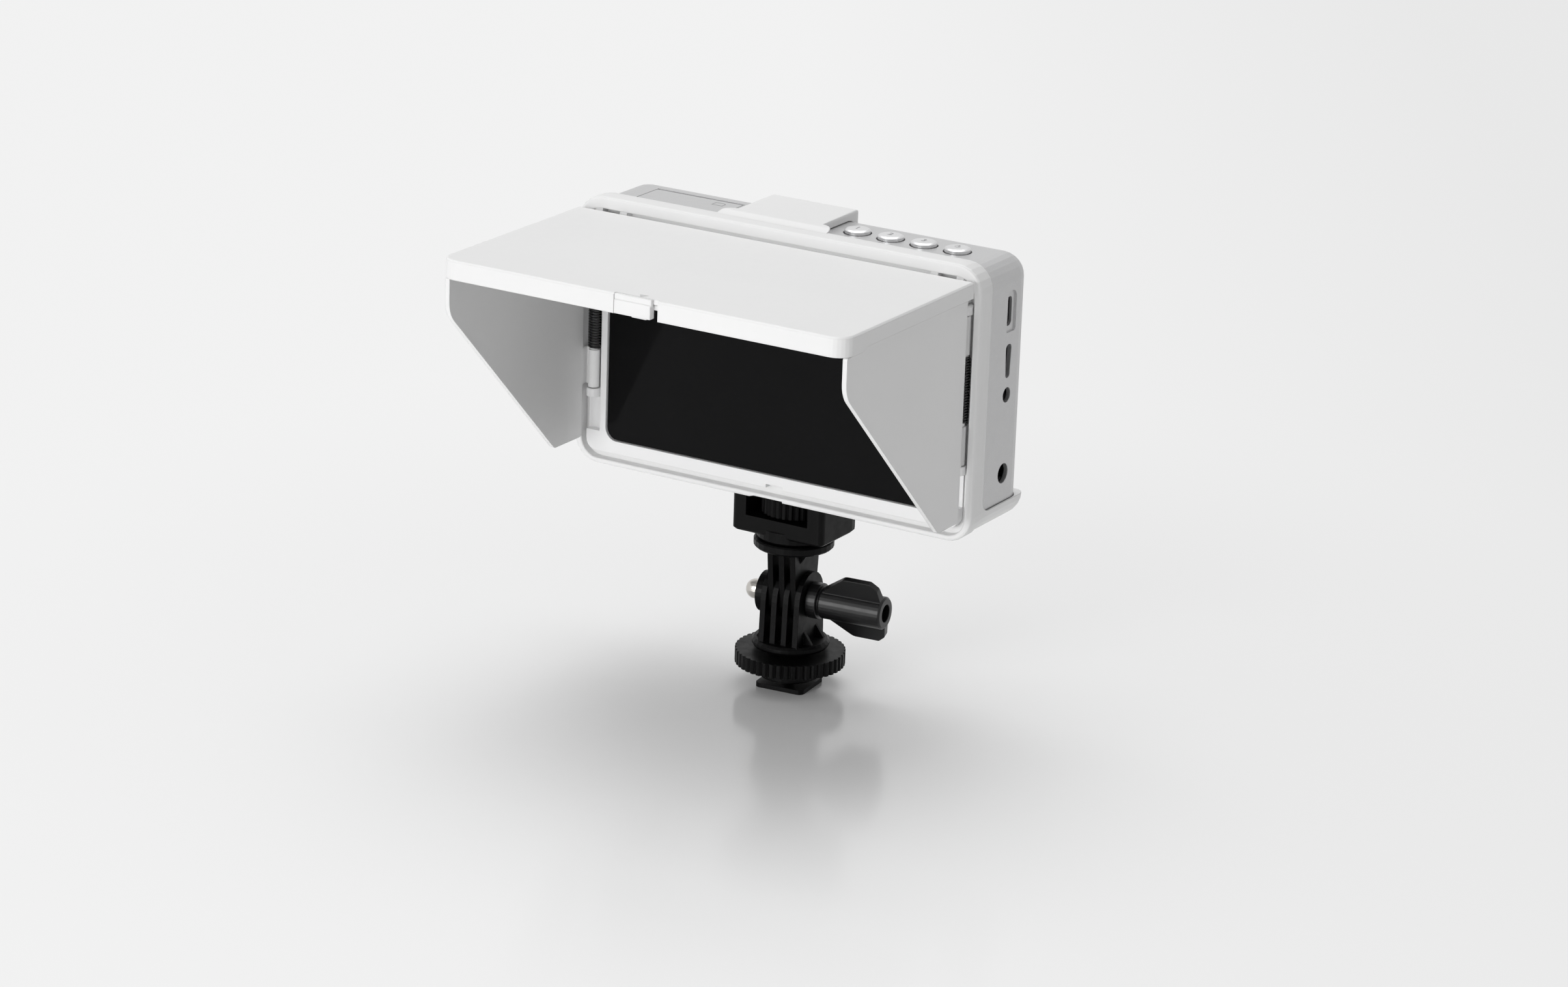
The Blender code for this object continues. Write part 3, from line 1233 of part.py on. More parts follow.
def build_card_cover(look, monitor):
    """The cover over the card slot, hinged along its back edge."""
    hinge = empty("card_cover_axis", (0, COVER_HINGE_Y, COVER_HINGE_Z), monitor)
    radius = COVER_THICK / 2
    outline = [
        Vector((COVER_FRONT - COVER_HINGE_Y, -radius)),
        Vector((0, -radius)),
    ]
    for step in range(1, 8):
        angle = -math.pi / 2 + math.pi * step / 8
        outline.append(Vector((radius * math.cos(angle), radius * math.sin(angle))))
    outline += [Vector((0, radius)), Vector((COVER_FRONT - COVER_HINGE_Y, radius))]
    cover = make("card_cover", prism(outline, COVER_LEFT, COVER_RIGHT, "x"), look["body_silver"], hinge)
    corners = prism(
        [Vector((u, v - COVER_HINGE_Y)) for u, v in cover_outline(0, COVER_BACK + COVER_THICK)],
        -COVER_THICK,
        COVER_THICK,
    )
    shape(cover, corners, "INTERSECT")
    bore = COVER_PIN_RADIUS + RUN_GAP
    cut(cover, rod(bore, COVER_LEFT - GAP, COVER_RIGHT + GAP, "x", (0, 0), 8))
    make(
        "card_cover_pin",
        rod(
            COVER_PIN_RADIUS,
            COVER_LEFT - COVER_PIN_GRIP,
            COVER_RIGHT + COVER_PIN_GRIP,
            "x",
            (COVER_HINGE_Y, COVER_HINGE_Z),
            8,
        ),
        look["steel"],
        monitor,
    )


def build_buttons(look, monitor):
    """Four round push buttons, their switches and the small board under them."""
    board_top = SHELL_TOP - SHELL_WALL - GAP - BUTTON_FLANGE_THICK - BUTTON_STEM_LENGTH - SWITCH_HEIGHT
    board_top -= BUTTON_TRAVEL + GAP
    for index in range(BUTTON_COUNT):
        x = BUTTON_FIRST_X + index * BUTTON_PITCH
        seat = SHELL_TOP - SHELL_WALL - GAP
        cap_top = SHELL_TOP + BUTTON_RISE
        profile = [
            (0, seat - BUTTON_FLANGE_THICK - BUTTON_STEM_LENGTH),
            (BUTTON_STEM, seat - BUTTON_FLANGE_THICK - BUTTON_STEM_LENGTH),
            (BUTTON_STEM, seat - BUTTON_FLANGE_THICK),
            (BUTTON_RADIUS + BUTTON_FLANGE, seat - BUTTON_FLANGE_THICK),
            (BUTTON_RADIUS + BUTTON_FLANGE, seat),
            (BUTTON_RADIUS, seat),
            (BUTTON_RADIUS, cap_top - BUTTON_CHAMFER),
            (BUTTON_RADIUS - BUTTON_CHAMFER * 0.45, cap_top - BUTTON_CHAMFER * 0.3),
            (BUTTON_RADIUS - BUTTON_CHAMFER, cap_top),
            (0, cap_top),
        ]
        slide = empty(f"button_{index + 1}_axis", (x, BUTTON_Y, 0), monitor)
        make(f"button_{index + 1}", turned(profile, 24), look["button_silver"], slide)
        half = SWITCH_BODY / 2
        switch_low = board_top + GAP / 3
        switch = make(
            f"tact_switch_{index + 1}",
            box(-half, half, -half, half, switch_low, switch_low + SWITCH_HEIGHT * 0.7),
            look["socket_black"],
            monitor,
            (x, BUTTON_Y, 0),
        )
        join(switch, rod(SWITCH_KNOB, switch_low + SWITCH_HEIGHT * 0.5, board_top + SWITCH_HEIGHT, steps=12))
    first = BUTTON_FIRST_X - SWITCH_BODY
    last = BUTTON_FIRST_X + (BUTTON_COUNT - 1) * BUTTON_PITCH + SWITCH_BODY
    board = box(
        first,
        last,
        BUTTON_Y - SWITCH_BODY,
        BOARD_Y - GAP,
        board_top - GAP / 3 - BUTTON_BOARD_THICK,
        board_top - GAP / 3,
    )
    make("button_board", board, look["board_green"], monitor)


def socket(name, look, monitor, z, mouth, half_long, half_wide):
    """A socket body behind its hole in the side wall, open towards the plug."""
    face = SOCKET_FACE
    long_side = half_long + SOCKET_WALL
    wide = half_wide + SOCKET_WALL
    item = make(
        name,
        box(face - SOCKET_DEPTH, face, PORT_Y - wide, BOARD_Y - GAP, z - long_side, z + long_side),
        look,
        monitor,
    )
    cut(item, prism(mouth, face - SOCKET_MOUTH, face + GAP, "x"))
    return item


def build_electronics(look, monitor):
    """The main board with its sockets, and the screws that hold the shell to it."""
    board = make(
        "main_board",
        prism(
            rectangle(-BOARD_HALF, BOARD_HALF, BOARD_BOTTOM, BOARD_TOP, 0.002, 3),
            BOARD_Y,
            BOARD_Y + BOARD_THICK,
            "y",
        ),
        look["board_green"],
        monitor,
    )
    holes = bmesh.new()
    for x in (-SCREW_X, SCREW_X):
        for z in (SCREW_LOW, SCREW_HIGH):
            ends = (BOARD_Y - GAP, BOARD_Y + BOARD_THICK + GAP)
            rod(SCREW_RADIUS + GAP, *ends, "y", (x, z), SMALL_ROUND, holes)
    cut(board, holes)
    face = SOCKET_FACE
    usb_mouth = rectangle(
        PORT_Y - USB_WIDE / 2 + GAP,
        PORT_Y + USB_WIDE / 2 - GAP,
        USB_Z - USB_LONG / 2 + GAP,
        USB_Z + USB_LONG / 2 - GAP,
        USB_WIDE / 2 - 3 * GAP,
        3,
    )
    usb = socket("usb_socket", look["socket_metal"], monitor, USB_Z, usb_mouth, USB_LONG / 2, USB_WIDE / 2)
    tongue = box(
        face - SOCKET_MOUTH - GAP,
        face - SOCKET_MOUTH / 3,
        PORT_Y - TONGUE_HALF,
        PORT_Y + TONGUE_HALF,
        USB_Z - USB_LONG / 3,
        USB_Z + USB_LONG / 3,
    )
    join(usb, tongue)
    video = socket(
        "video_socket",
        look["socket_metal"],
        monitor,
        HDMI_Z,
        hdmi_outline(-GAP),
        HDMI_LONG / 2,
        HDMI_WIDE / 2,
    )
    join(video, box(
        face - SOCKET_MOUTH - GAP,
        face - SOCKET_MOUTH / 3,
        PORT_Y - TONGUE_HALF,
        PORT_Y + TONGUE_HALF,
        HDMI_Z - HDMI_LONG / 3,
        HDMI_Z + HDMI_LONG / 3,
    ))
    audio_mouth = circle(AUDIO_RADIUS - 2 * GAP, 24, (PORT_Y, AUDIO_Z))
    socket("audio_socket", look["socket_black"], monitor, AUDIO_Z, audio_mouth, AUDIO_RADIUS, AUDIO_RADIUS)
    dc_mouth = circle(DC_RADIUS - 2 * GAP, 24, (PORT_Y, DC_Z))
    wide = DC_RADIUS - SOCKET_WALL
    power = socket("power_socket", look["socket_black"], monitor, DC_Z, dc_mouth, DC_RADIUS, wide)
    ends = (face - SOCKET_MOUTH - GAP, face - SOCKET_MOUTH / 4)
    join(power, rod(DC_PIN_RADIUS, *ends, "x", (PORT_Y, DC_Z), 12))

    card_x = (COVER_LEFT + COVER_RIGHT) / 2
    tray_low = SHELL_TOP - COVER_THICK - GAP - SHELL_WALL - GAP
    half = CARD_WIDTH / 2
    back = BOARD_Y - GAP
    wall = CARD_SOCKET_WALL
    card = make(
        "card_socket",
        box(
            card_x - half - wall,
            card_x + half + wall,
            back - CARD_THICK - 2 * wall,
            back,
            tray_low - CARD_SOCKET_DEPTH,
            tray_low,
        ),
        look["socket_metal"],
        monitor,
    )
    cut(card, box(
        card_x - half,
        card_x + half,
        back - wall - CARD_THICK,
        back - wall,
        tray_low - CARD_SOCKET_DEPTH + wall,
        tray_low + GAP,
    ))
    insert_outer = INSERT_WALL + MOUNT_STUD_RADIUS + GAP
    insert = turned([
        (MOUNT_STUD_RADIUS + GAP, SHELL_BOTTOM),
        (insert_outer, SHELL_BOTTOM),
        (insert_outer, SHELL_BOTTOM + INSERT_HEIGHT),
        (MOUNT_STUD_RADIUS + GAP, SHELL_BOTTOM + INSERT_HEIGHT),
        (MOUNT_STUD_RADIUS + GAP, SHELL_BOTTOM),
    ], 24, "z", (0, MONITOR_SETBACK, 0))
    make("thread_insert", insert, look["brass"], monitor)
    number = 0
    for x in (-SCREW_X, SCREW_X):
        for z in (SCREW_LOW, SCREW_HIGH):
            number += 1
            profile = [
                (0, BOARD_Y),
                (SCREW_RADIUS, BOARD_Y),
                (SCREW_RADIUS, SHELL_REAR - SCREW_HEAD_HEIGHT),
                (SCREW_HEAD, SHELL_REAR - SCREW_HEAD_HEIGHT),
                (SCREW_HEAD, SHELL_REAR - GAP),
                (SCREW_HEAD * 0.35, SHELL_REAR - GAP),
                (SCREW_HEAD * 0.35, SHELL_REAR - 3 * GAP),
                (0, SHELL_REAR - 3 * GAP),
            ]
            make(f"rear_screw_{number}", turned(profile, SMALL_ROUND, "y", (x, 0, z)), look["steel"], monitor)


def flap_outline(back):
    """A side flap in side view: straight front edge, long slanted edge, short foot."""
    return rounded([
        (-FLAP_REACH, FLAP_FRONT_TOP, 0.0008),
        (-FLAP_REACH, FLAP_BEND_Z, FLAP_BEND_RADIUS),
        (-FLAP_TIP_Y, FLAP_BOTTOM, FLAP_TIP_RADIUS),
        (-back, FLAP_BOTTOM, 0.0010),
        (-back, FLAP_TOP, 0.0006),
        (-LID_STEP_Y, FLAP_TOP, 0.0012),
        (-LID_STEP_Y - LID_STEP_RUN, FLAP_FRONT_TOP, 0.0012),
    ])


def build_flap(look, monitor, side, name, hinge_x, back):
    """One side flap with its hinge barrels, pin and torsion spring."""
    axis = empty(f"{name}_axis", (side * hinge_x, 0, 0), monitor)
    inner = FLAP_INSIDE - hinge_x
    outer = inner + FLAP_THICK
    ends = sorted((side * inner, side * outer))
    flap = make(name, prism(flap_outline(back), *ends, "x"), look["hood_white"], axis)
    low_end = HINGE_LOW_LUG + HINGE_LUG_HEIGHT + GAP
    high_end = HINGE_HIGH_LUG - GAP
    webs = bmesh.new()
    reach = back + FLAP_THICK / 2
    plan = [
        Vector((side * inner, -reach)),
        Vector((side * (inner + FLAP_THICK / 2), -reach)),
        Vector((side * (inner + FLAP_THICK / 2), -back)),
        Vector((side * BARREL_RADIUS * 0.86, -BARREL_RADIUS * 0.3)),
        Vector((0, -BARREL_RADIUS * 0.45)),
        Vector((0, -BARREL_RADIUS * 0.98)),
    ]
    spring_gap = GAP / 2
    for low, high in ((low_end, SPRING_LOW - spring_gap), (SPRING_HIGH + spring_gap, high_end)):
        prism(plan, low, high, "z", webs)
    join(flap, webs)
    barrel = [
        (0, low_end),
        (BARREL_RADIUS, low_end),
        (BARREL_RADIUS, SPRING_LOW - spring_gap),
        (BARREL_CORE, SPRING_LOW - spring_gap),
        (BARREL_CORE, SPRING_HIGH + spring_gap),
        (BARREL_RADIUS, SPRING_HIGH + spring_gap),
        (BARREL_RADIUS, high_end),
        (0, high_end),
    ]
    join(flap, turned(barrel, 20))
    cut(flap, rod(FLAP_PIN_RADIUS + RUN_GAP, low_end - GAP, high_end + GAP, steps=SMALL_ROUND))
    make(
        f"{name}_pin",
        rod(
            FLAP_PIN_RADIUS,
            HINGE_LOW_LUG + HINGE_LUG_HEIGHT / 3 + GAP,
            HINGE_HIGH_LUG + HINGE_LUG_HEIGHT - GAP,
            steps=SMALL_ROUND,
        ),
        look["steel"],
        axis,
    )
    make(f"{name}_spring", coil(side), look["spring_black"], axis)


def coil(side):
    """A torsion spring round the barrel: a wire swept along a helix, its ends capped."""
    bm = bmesh.new()
    low = SPRING_LOW + SPRING_WIRE + GAP
    high = SPRING_HIGH - SPRING_WIRE - GAP
    turns = round((high - low) / SPRING_PITCH)
    steps = turns * 9
    rings = []
    for step in range(steps + 1):
        share = step / steps
        angle = side * 2 * math.pi * turns * share + math.pi / 2
        outward = Vector((math.cos(angle), math.sin(angle), 0))
        centre = outward * SPRING_RADIUS + Vector((0, 0, low + (high - low) * share))
        rings.append([
            centre + outward * SPRING_WIRE * math.cos(a) + Vector((0, 0, SPRING_WIRE * math.sin(a)))
            for a in (2 * math.pi * corner / 5 for corner in range(5))
        ])
    return loft(rings, bm=bm)


def lid_outline(inset_side, inset_front, back):
    """The lid seen from above, or the hollow under it."""
    half = LID_HALF_WIDTH - inset_side
    front = -LID_FRONT + inset_front
    corner = max(LID_CORNER - max(inset_side, inset_front), GAP)
    return rounded([(-half, back, 0), (-half, front, corner), (half, front, corner), (half, back, 0)], 7)


def build_lid(look, monitor):
    """The lid of the hood with its skirt, hinge arms and pins."""
    axis = empty("lid_axis", (0, LID_PIVOT_Y, LID_PIVOT_Z), monitor)

    def local(outline):
        """Shift a plan outline into the hinge's frame."""
        return [Vector((u, v - LID_PIVOT_Y)) for u, v in outline]

    lip = LID_LIP_BOTTOM - LID_PIVOT_Z
    top = LID_TOP - LID_PIVOT_Z
    under = LID_UNDERSIDE - LID_PIVOT_Z
    shrunk = local(lid_outline(LID_EDGE, LID_EDGE, -LID_BACK - LID_EDGE / 2))
    full = local(lid_outline(0, 0, -LID_BACK))
    rings = [
        [lift(point, lip, "z") for point in full],
        [lift(point, top - LID_EDGE, "z") for point in full],
        [lift(point, top, "z") for point in shrunk],
    ]
    lid = make("sun_lid", loft(rings), look["hood_white"], axis)
    hollow = local(lid_outline(LID_SKIRT, LID_LIP, 2 * GAP))
    cut(lid, prism(hollow, lip - GAP, under))
    side_bottom = LID_SKIRT_BOTTOM - LID_PIVOT_Z
    relief = [
        Vector((-LID_STEP_Y - LID_STEP_RUN - LID_PIVOT_Y, lip)),
        Vector((-LID_STEP_Y - LID_STEP_RUN - LID_PIVOT_Y, lip - GAP)),
        Vector((0, lip - GAP)),
        Vector((0, side_bottom)),
        Vector((-LID_STEP_Y - LID_PIVOT_Y, side_bottom)),
    ]
    cut(lid, prism(relief, -LID_HALF_WIDTH - GAP, LID_HALF_WIDTH + GAP, "x"))
    arms = bmesh.new()
    for side in (-1, 1):
        ends = sorted((side * LID_ARM_INNER, side * (LID_ARM_INNER + LID_ARM_WIDTH)))
        prism(arm_outline(), *ends, "x", arms)
    join(lid, arms)
    bores = bmesh.new()
    for side in (-1, 1):
        ends = sorted((side * (LID_ARM_INNER - GAP), side * (LID_ARM_INNER + LID_ARM_WIDTH + GAP)))
        rod(LID_PIN_RADIUS + RUN_GAP, *ends, "x", (0, 0), SMALL_ROUND, bores)
    cut(lid, bores)
    latch_right = LATCH_LEFT + LATCH_WIDTH + LATCH_TRAVEL + GAP
    face = -LID_FRONT - LID_PIVOT_Y
    latch_left = LATCH_LEFT - GAP
    cut(lid, box(latch_left, latch_right, face - GAP, face + LATCH_RECESS, lip - GAP, top + GAP))
    cut(lid, box(latch_left, latch_right, face - GAP, face + LID_LIP + GAP, lip - GAP, under - GAP / 10))
    for side, name in ((-1, "left"), (1, "right")):
        inner = LID_ARM_INNER - LID_EAR_WIDTH
        outer = LID_ARM_INNER + LID_ARM_WIDTH + LID_EAR_WIDTH - GAP
        ends = sorted((side * inner, side * outer))
        make(
            f"lid_pin_{name}",
            rod(LID_PIN_RADIUS, *ends, "x", (LID_PIVOT_Y, LID_PIVOT_Z), SMALL_ROUND),
            look["steel"],
            monitor,
        )
    return axis


def arm_outline():
    """A lid arm seen from the side: from the lid's back edge to the barrel on the pin."""
    radius = LID_BARREL
    back = -LID_BACK - LID_PIVOT_Y - LID_ARM_ROOT
    top = LID_TOP - LID_PIVOT_Z - GAP
    under = LID_UNDERSIDE - LID_PIVOT_Z
    outline = []
    for step in range(9):
        angle = -math.pi * 0.65 + math.pi * 1.15 * step / 8
        outline.append(Vector((radius * math.cos(angle), radius * math.sin(angle))))
    outline += [
        Vector((-LID_ARM_CREST, radius)),
        Vector((-LID_BACK - LID_PIVOT_Y, top)),
        Vector((back, top)),
        Vector((back, under - LID_PLATE / 2)),
        Vector((-LID_BACK - LID_PIVOT_Y, under - LID_PLATE)),
    ]
    return outline


def build_latch(look, lid_axis):
    """The latch slider: a finger block in the lip's notch, a plate under the lid and a hook."""
    front = -LID_FRONT + LATCH_RECESS
    back = front + LATCH_DEPTH
    plate_top = LID_UNDERSIDE - GAP
    latch = make(
        "lid_latch",
        box(LATCH_LEFT, LATCH_LEFT + LATCH_WIDTH, front, back, LID_LIP_BOTTOM, plate_top - GAP / 3),
        look["hood_white"],
        lid_axis,
        (0, -LID_PIVOT_Y, -LID_PIVOT_Z),
    )
    join(latch, box(
        LATCH_LEFT - LATCH_TRAVEL,
        LATCH_LEFT + LATCH_WIDTH + LATCH_TRAVEL,
        -LID_FRONT + LID_LIP + 2 * GAP,
        back + LATCH_PLATE_DEPTH,
        plate_top - LATCH_PLATE,
        plate_top,
    ))
    root = LID_UNDERSIDE - LATCH_PLATE
    hook = [
        Vector((back - GAP, root)),
        Vector((back - GAP, LID_LIP_BOTTOM - LATCH_HOOK_DROP)),
        Vector((back + LATCH_HOOK_THICK, LID_LIP_BOTTOM - LATCH_HOOK_DROP)),
        Vector((back + LATCH_HOOK_THICK, LID_LIP_BOTTOM - LATCH_HOOK_DROP / 2)),
        Vector((back + LATCH_HOOK_THICK / 2, LID_LIP_BOTTOM)),
        Vector((back + LATCH_HOOK_THICK / 2, root)),
    ]
    middle = LATCH_LEFT + LATCH_WIDTH / 2
    join(latch, prism(hook, middle - LATCH_HOOK_WIDTH / 2, middle + LATCH_HOOK_WIDTH / 2, "x"))


def build():
    """Build the whole product."""
    clear_scene()
    look = build_finishes()
    mount = empty("mount_turn", turn_z=math.radians(MOUNT_TURN_DEG))
    block_frame = empty("block_frame")
    monitor = empty("monitor_frame", (0, -MONITOR_SETBACK, MONITOR_Z))
    build_shoe(look, mount)
    base_face, nut_face = build_hinge(look, mount)
    build_knob(look, mount, base_face, nut_face)
    build_block(look, mount, block_frame)
    build_hood_frame(look, monitor)
    build_screen(look, monitor)
    build_shell(look, monitor)
    build_card_cover(look, monitor)
    build_buttons(look, monitor)
    build_electronics(look, monitor)
    build_flap(look, monitor, -1, "left_flap", LEFT_HINGE_X, LEFT_FLAP_BACK)
    build_flap(look, monitor, 1, "right_flap", RIGHT_HINGE_X, RIGHT_FLAP_BACK)
    lid_axis = build_lid(look, monitor)
    build_latch(look, lid_axis)
    bpy.context.view_layer.update()


build()
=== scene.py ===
"""The looks of a camera field monitor in a folding sun hood, on its hot-shoe mount.

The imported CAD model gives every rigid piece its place. This script gives each piece its
finish, models the fine pieces that the solids leave plain, and sets up a small studio.
Lengths are in metres, in the model's own frame: the screen faces -Y and the origin is the
centre of the shoe foot's bottom face.
"""
import json
import logging
import math
from dataclasses import dataclass, field
from enum import Enum

import bpy
from mathutils import Matrix, Vector


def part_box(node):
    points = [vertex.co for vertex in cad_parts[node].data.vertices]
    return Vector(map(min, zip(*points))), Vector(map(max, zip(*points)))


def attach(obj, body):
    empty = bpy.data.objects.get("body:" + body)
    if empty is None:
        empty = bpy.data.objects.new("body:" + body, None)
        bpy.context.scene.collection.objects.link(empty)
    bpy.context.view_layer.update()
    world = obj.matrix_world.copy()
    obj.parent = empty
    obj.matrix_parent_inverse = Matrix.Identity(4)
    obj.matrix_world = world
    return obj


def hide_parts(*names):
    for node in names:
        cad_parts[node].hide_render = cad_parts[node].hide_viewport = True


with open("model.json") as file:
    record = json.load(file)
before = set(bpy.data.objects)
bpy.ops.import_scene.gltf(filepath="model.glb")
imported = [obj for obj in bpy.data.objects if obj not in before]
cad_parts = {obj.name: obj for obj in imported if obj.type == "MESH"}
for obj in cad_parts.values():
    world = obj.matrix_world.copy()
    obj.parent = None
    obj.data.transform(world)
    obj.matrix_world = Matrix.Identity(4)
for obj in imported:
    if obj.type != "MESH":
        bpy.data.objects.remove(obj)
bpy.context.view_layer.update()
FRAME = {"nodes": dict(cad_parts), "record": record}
MM = 0.001
MERGE = 1e-7
SMOOTH_BELOW = math.radians(35)
LOG = logging.getLogger("monitor")

Colour = tuple[float, float, float]


# ---------------------------------------------------------------- shader groups


class Shade:
    """A small helper that adds and joins nodes in one node tree."""

    def __init__(self, tree: bpy.types.NodeTree) -> None:
        """Keep the tree that the nodes go into.

        Args:
            tree: The material's or group's node tree.
        """
        self.tree = tree
        self.column = 0

    def node(self, kind: str, **values: object) -> bpy.types.Node:
        """Add a node and set its properties.

        Args:
            kind: The node's type name.
            values: Properties of the node, such as its operation.

        Returns:
            The new node.
        """
        item = self.tree.nodes.new(kind)
        item.location = (self.column * 180.0, 0.0)
        self.column += 1
        for name, value in values.items():
            setattr(item, name, value)
        return item

    def join(self, source: bpy.types.NodeSocket, target: bpy.types.NodeSocket) -> None:
        """Link two sockets."""
        self.tree.links.new(source, target)

    def math(self, operation: str, first: object, second: object) -> bpy.types.NodeSocket:
        """Add a Math node; each operand is a socket or a number.

        Args:
            operation: The node's operation.
            first: The first operand.
            second: The second operand.

        Returns:
            The node's output.
        """
        item = self.node("ShaderNodeMath", operation=operation)
        for index, operand in enumerate((first, second)):
            if isinstance(operand, bpy.types.NodeSocket):
                self.join(operand, item.inputs[index])
            else:
                item.inputs[index].default_value = operand
        return item.outputs[0]

    def noise(self, place: object, scale: object, detail: float) -> bpy.types.NodeSocket:
        """Add a noise texture.

        Args:
            place: The coordinates' socket.
            scale: The scale, a socket or a number.
            detail: How many finer layers it has.

        Returns:
            The noise value's socket.
        """
        item = self.node("ShaderNodeTexNoise")
        self.join(place, item.inputs["Vector"])
        if isinstance(scale, bpy.types.NodeSocket):
            self.join(scale, item.inputs["Scale"])
        else:
            item.inputs["Scale"].default_value = scale
        item.inputs["Detail"].default_value = detail
        return item.outputs[0]

    def spread(self, value: bpy.types.NodeSocket, low: float, high: float) -> bpy.types.NodeSocket:
        """Stretch the middle of a noise over a range of values.

        Args:
            value: The noise.
            low: The result where the noise is low.
            high: The result where the noise is high.

        Returns:
            The stretched value's socket.
        """
        item = self.node("ShaderNodeMapRange")
        self.join(value, item.inputs["Value"])
        item.inputs["From Min"].default_value = 0.3
        item.inputs["From Max"].default_value = 0.7
        item.inputs["To Min"].default_value = low
        item.inputs["To Max"].default_value = high
        return item.outputs["Result"]


def new_group(name: str, inputs: dict[str, float], outputs: list[str]) -> tuple:
    """Make an empty shader group with float sockets.

    Args:
        name: The group's name.
        inputs: Each input's name and default value.
        outputs: The outputs' names.

    Returns:
        The tree, its helper, its input node and its output node.
    """
    tree = bpy.data.node_groups.new(name, "ShaderNodeTree")
    for title, value in inputs.items():
        socket = tree.interface.new_socket(title, in_out="INPUT", socket_type="NodeSocketFloat")
        socket.default_value = value
    for title in outputs:
        tree.interface.new_socket(title, in_out="OUTPUT", socket_type="NodeSocketFloat")
    shade = Shade(tree)
    start = shade.node("NodeGroupInput")
    return tree, shade, start, shade.node("NodeGroupOutput")


def moulded_grain() -> bpy.types.NodeTree:
    """The fine spark-eroded grain of moulded plastic, with a slow drift in tone.

    Returns:
        A group with a grain height, a tone drift and a gloss drift.
    """
    tree, shade, start, end = new_group(
        "moulded_grain", {"Grain Size": 0.25}, ["Grain", "Drift", "Gloss"]
    )
    place = shade.node("ShaderNodeTexCoord").outputs["Object"]
    scale = shade.math("DIVIDE", 1000.0, start.outputs["Grain Size"])
    fine = shade.noise(place, scale, 3.0)
    coarse = shade.noise(place, shade.math("MULTIPLY", scale, 0.31), 2.0)
    shade.join(shade.math("MULTIPLY_ADD", coarse, 0.4), end.inputs["Grain"])
    add = shade.tree.nodes[-1]
    shade.join(fine, add.inputs[2])
    shade.join(shade.noise(place, 22.0, 2.0), end.inputs["Drift"])
    shade.join(shade.noise(place, 310.0, 4.0), end.inputs["Gloss"])
    return tree


def brushed_lines() -> bpy.types.NodeTree:
    """Very fine straight lines along X, as on brushed and turned metal.

    Returns:
        A group with the lines' height and a slow drift.
    """
    tree, shade, start, end = new_group(
        "brushed_lines", {"Line Length": 12.0, "Line Width": 0.09}, ["Lines", "Drift"]
    )
    place = shade.node("ShaderNodeTexCoord").outputs["Object"]
    scale = shade.node("ShaderNodeCombineXYZ")
    shade.join(shade.math("DIVIDE", 1000.0, start.outputs["Line Length"]), scale.inputs[0])
    across = shade.math("DIVIDE", 1000.0, start.outputs["Line Width"])
    shade.join(across, scale.inputs[1])
    shade.join(across, scale.inputs[2])
    stretch = shade.node("ShaderNodeVectorMath", operation="MULTIPLY")
    shade.join(place, stretch.inputs[0])
    shade.join(scale.outputs[0], stretch.inputs[1])
    shade.join(shade.noise(stretch.outputs[0], 1.0, 2.0), end.inputs["Lines"])
    shade.join(shade.noise(place, 40.0, 2.0), end.inputs["Drift"])
    return tree


def fine_dust() -> bpy.types.NodeTree:
    """Sparse specks of dust and faint smudges, as masks.

    Returns:
        A group with a speck mask and a smudge mask.
    """
    tree, shade, start, end = new_group(
        "fine_dust", {"Speck Size": 0.35, "Amount": 0.2}, ["Specks", "Smudge"]
    )
    place = shade.node("ShaderNodeTexCoord").outputs["Object"]
    cells = shade.node("ShaderNodeTexVoronoi")
    shade.join(place, cells.inputs["Vector"])
    shade.join(
        shade.math("DIVIDE", 300.0, start.outputs["Speck Size"]), cells.inputs["Scale"]
    )
    near = shade.math("LESS_THAN", cells.outputs["Distance"], 0.08)
    patch = shade.math("GREATER_THAN", shade.noise(place, 120.0, 2.0), 0.56)
    shade.join(shade.math("MULTIPLY", near, patch), end.inputs["Specks"])
    smudge = shade.spread(shade.noise(place, 34.0, 3.0), 0.0, 1.0)
    shade.join(shade.math("MULTIPLY", smudge, start.outputs["Amount"]), end.inputs["Smudge"])
    return tree


# ---------------------------------------------------------------- finishes


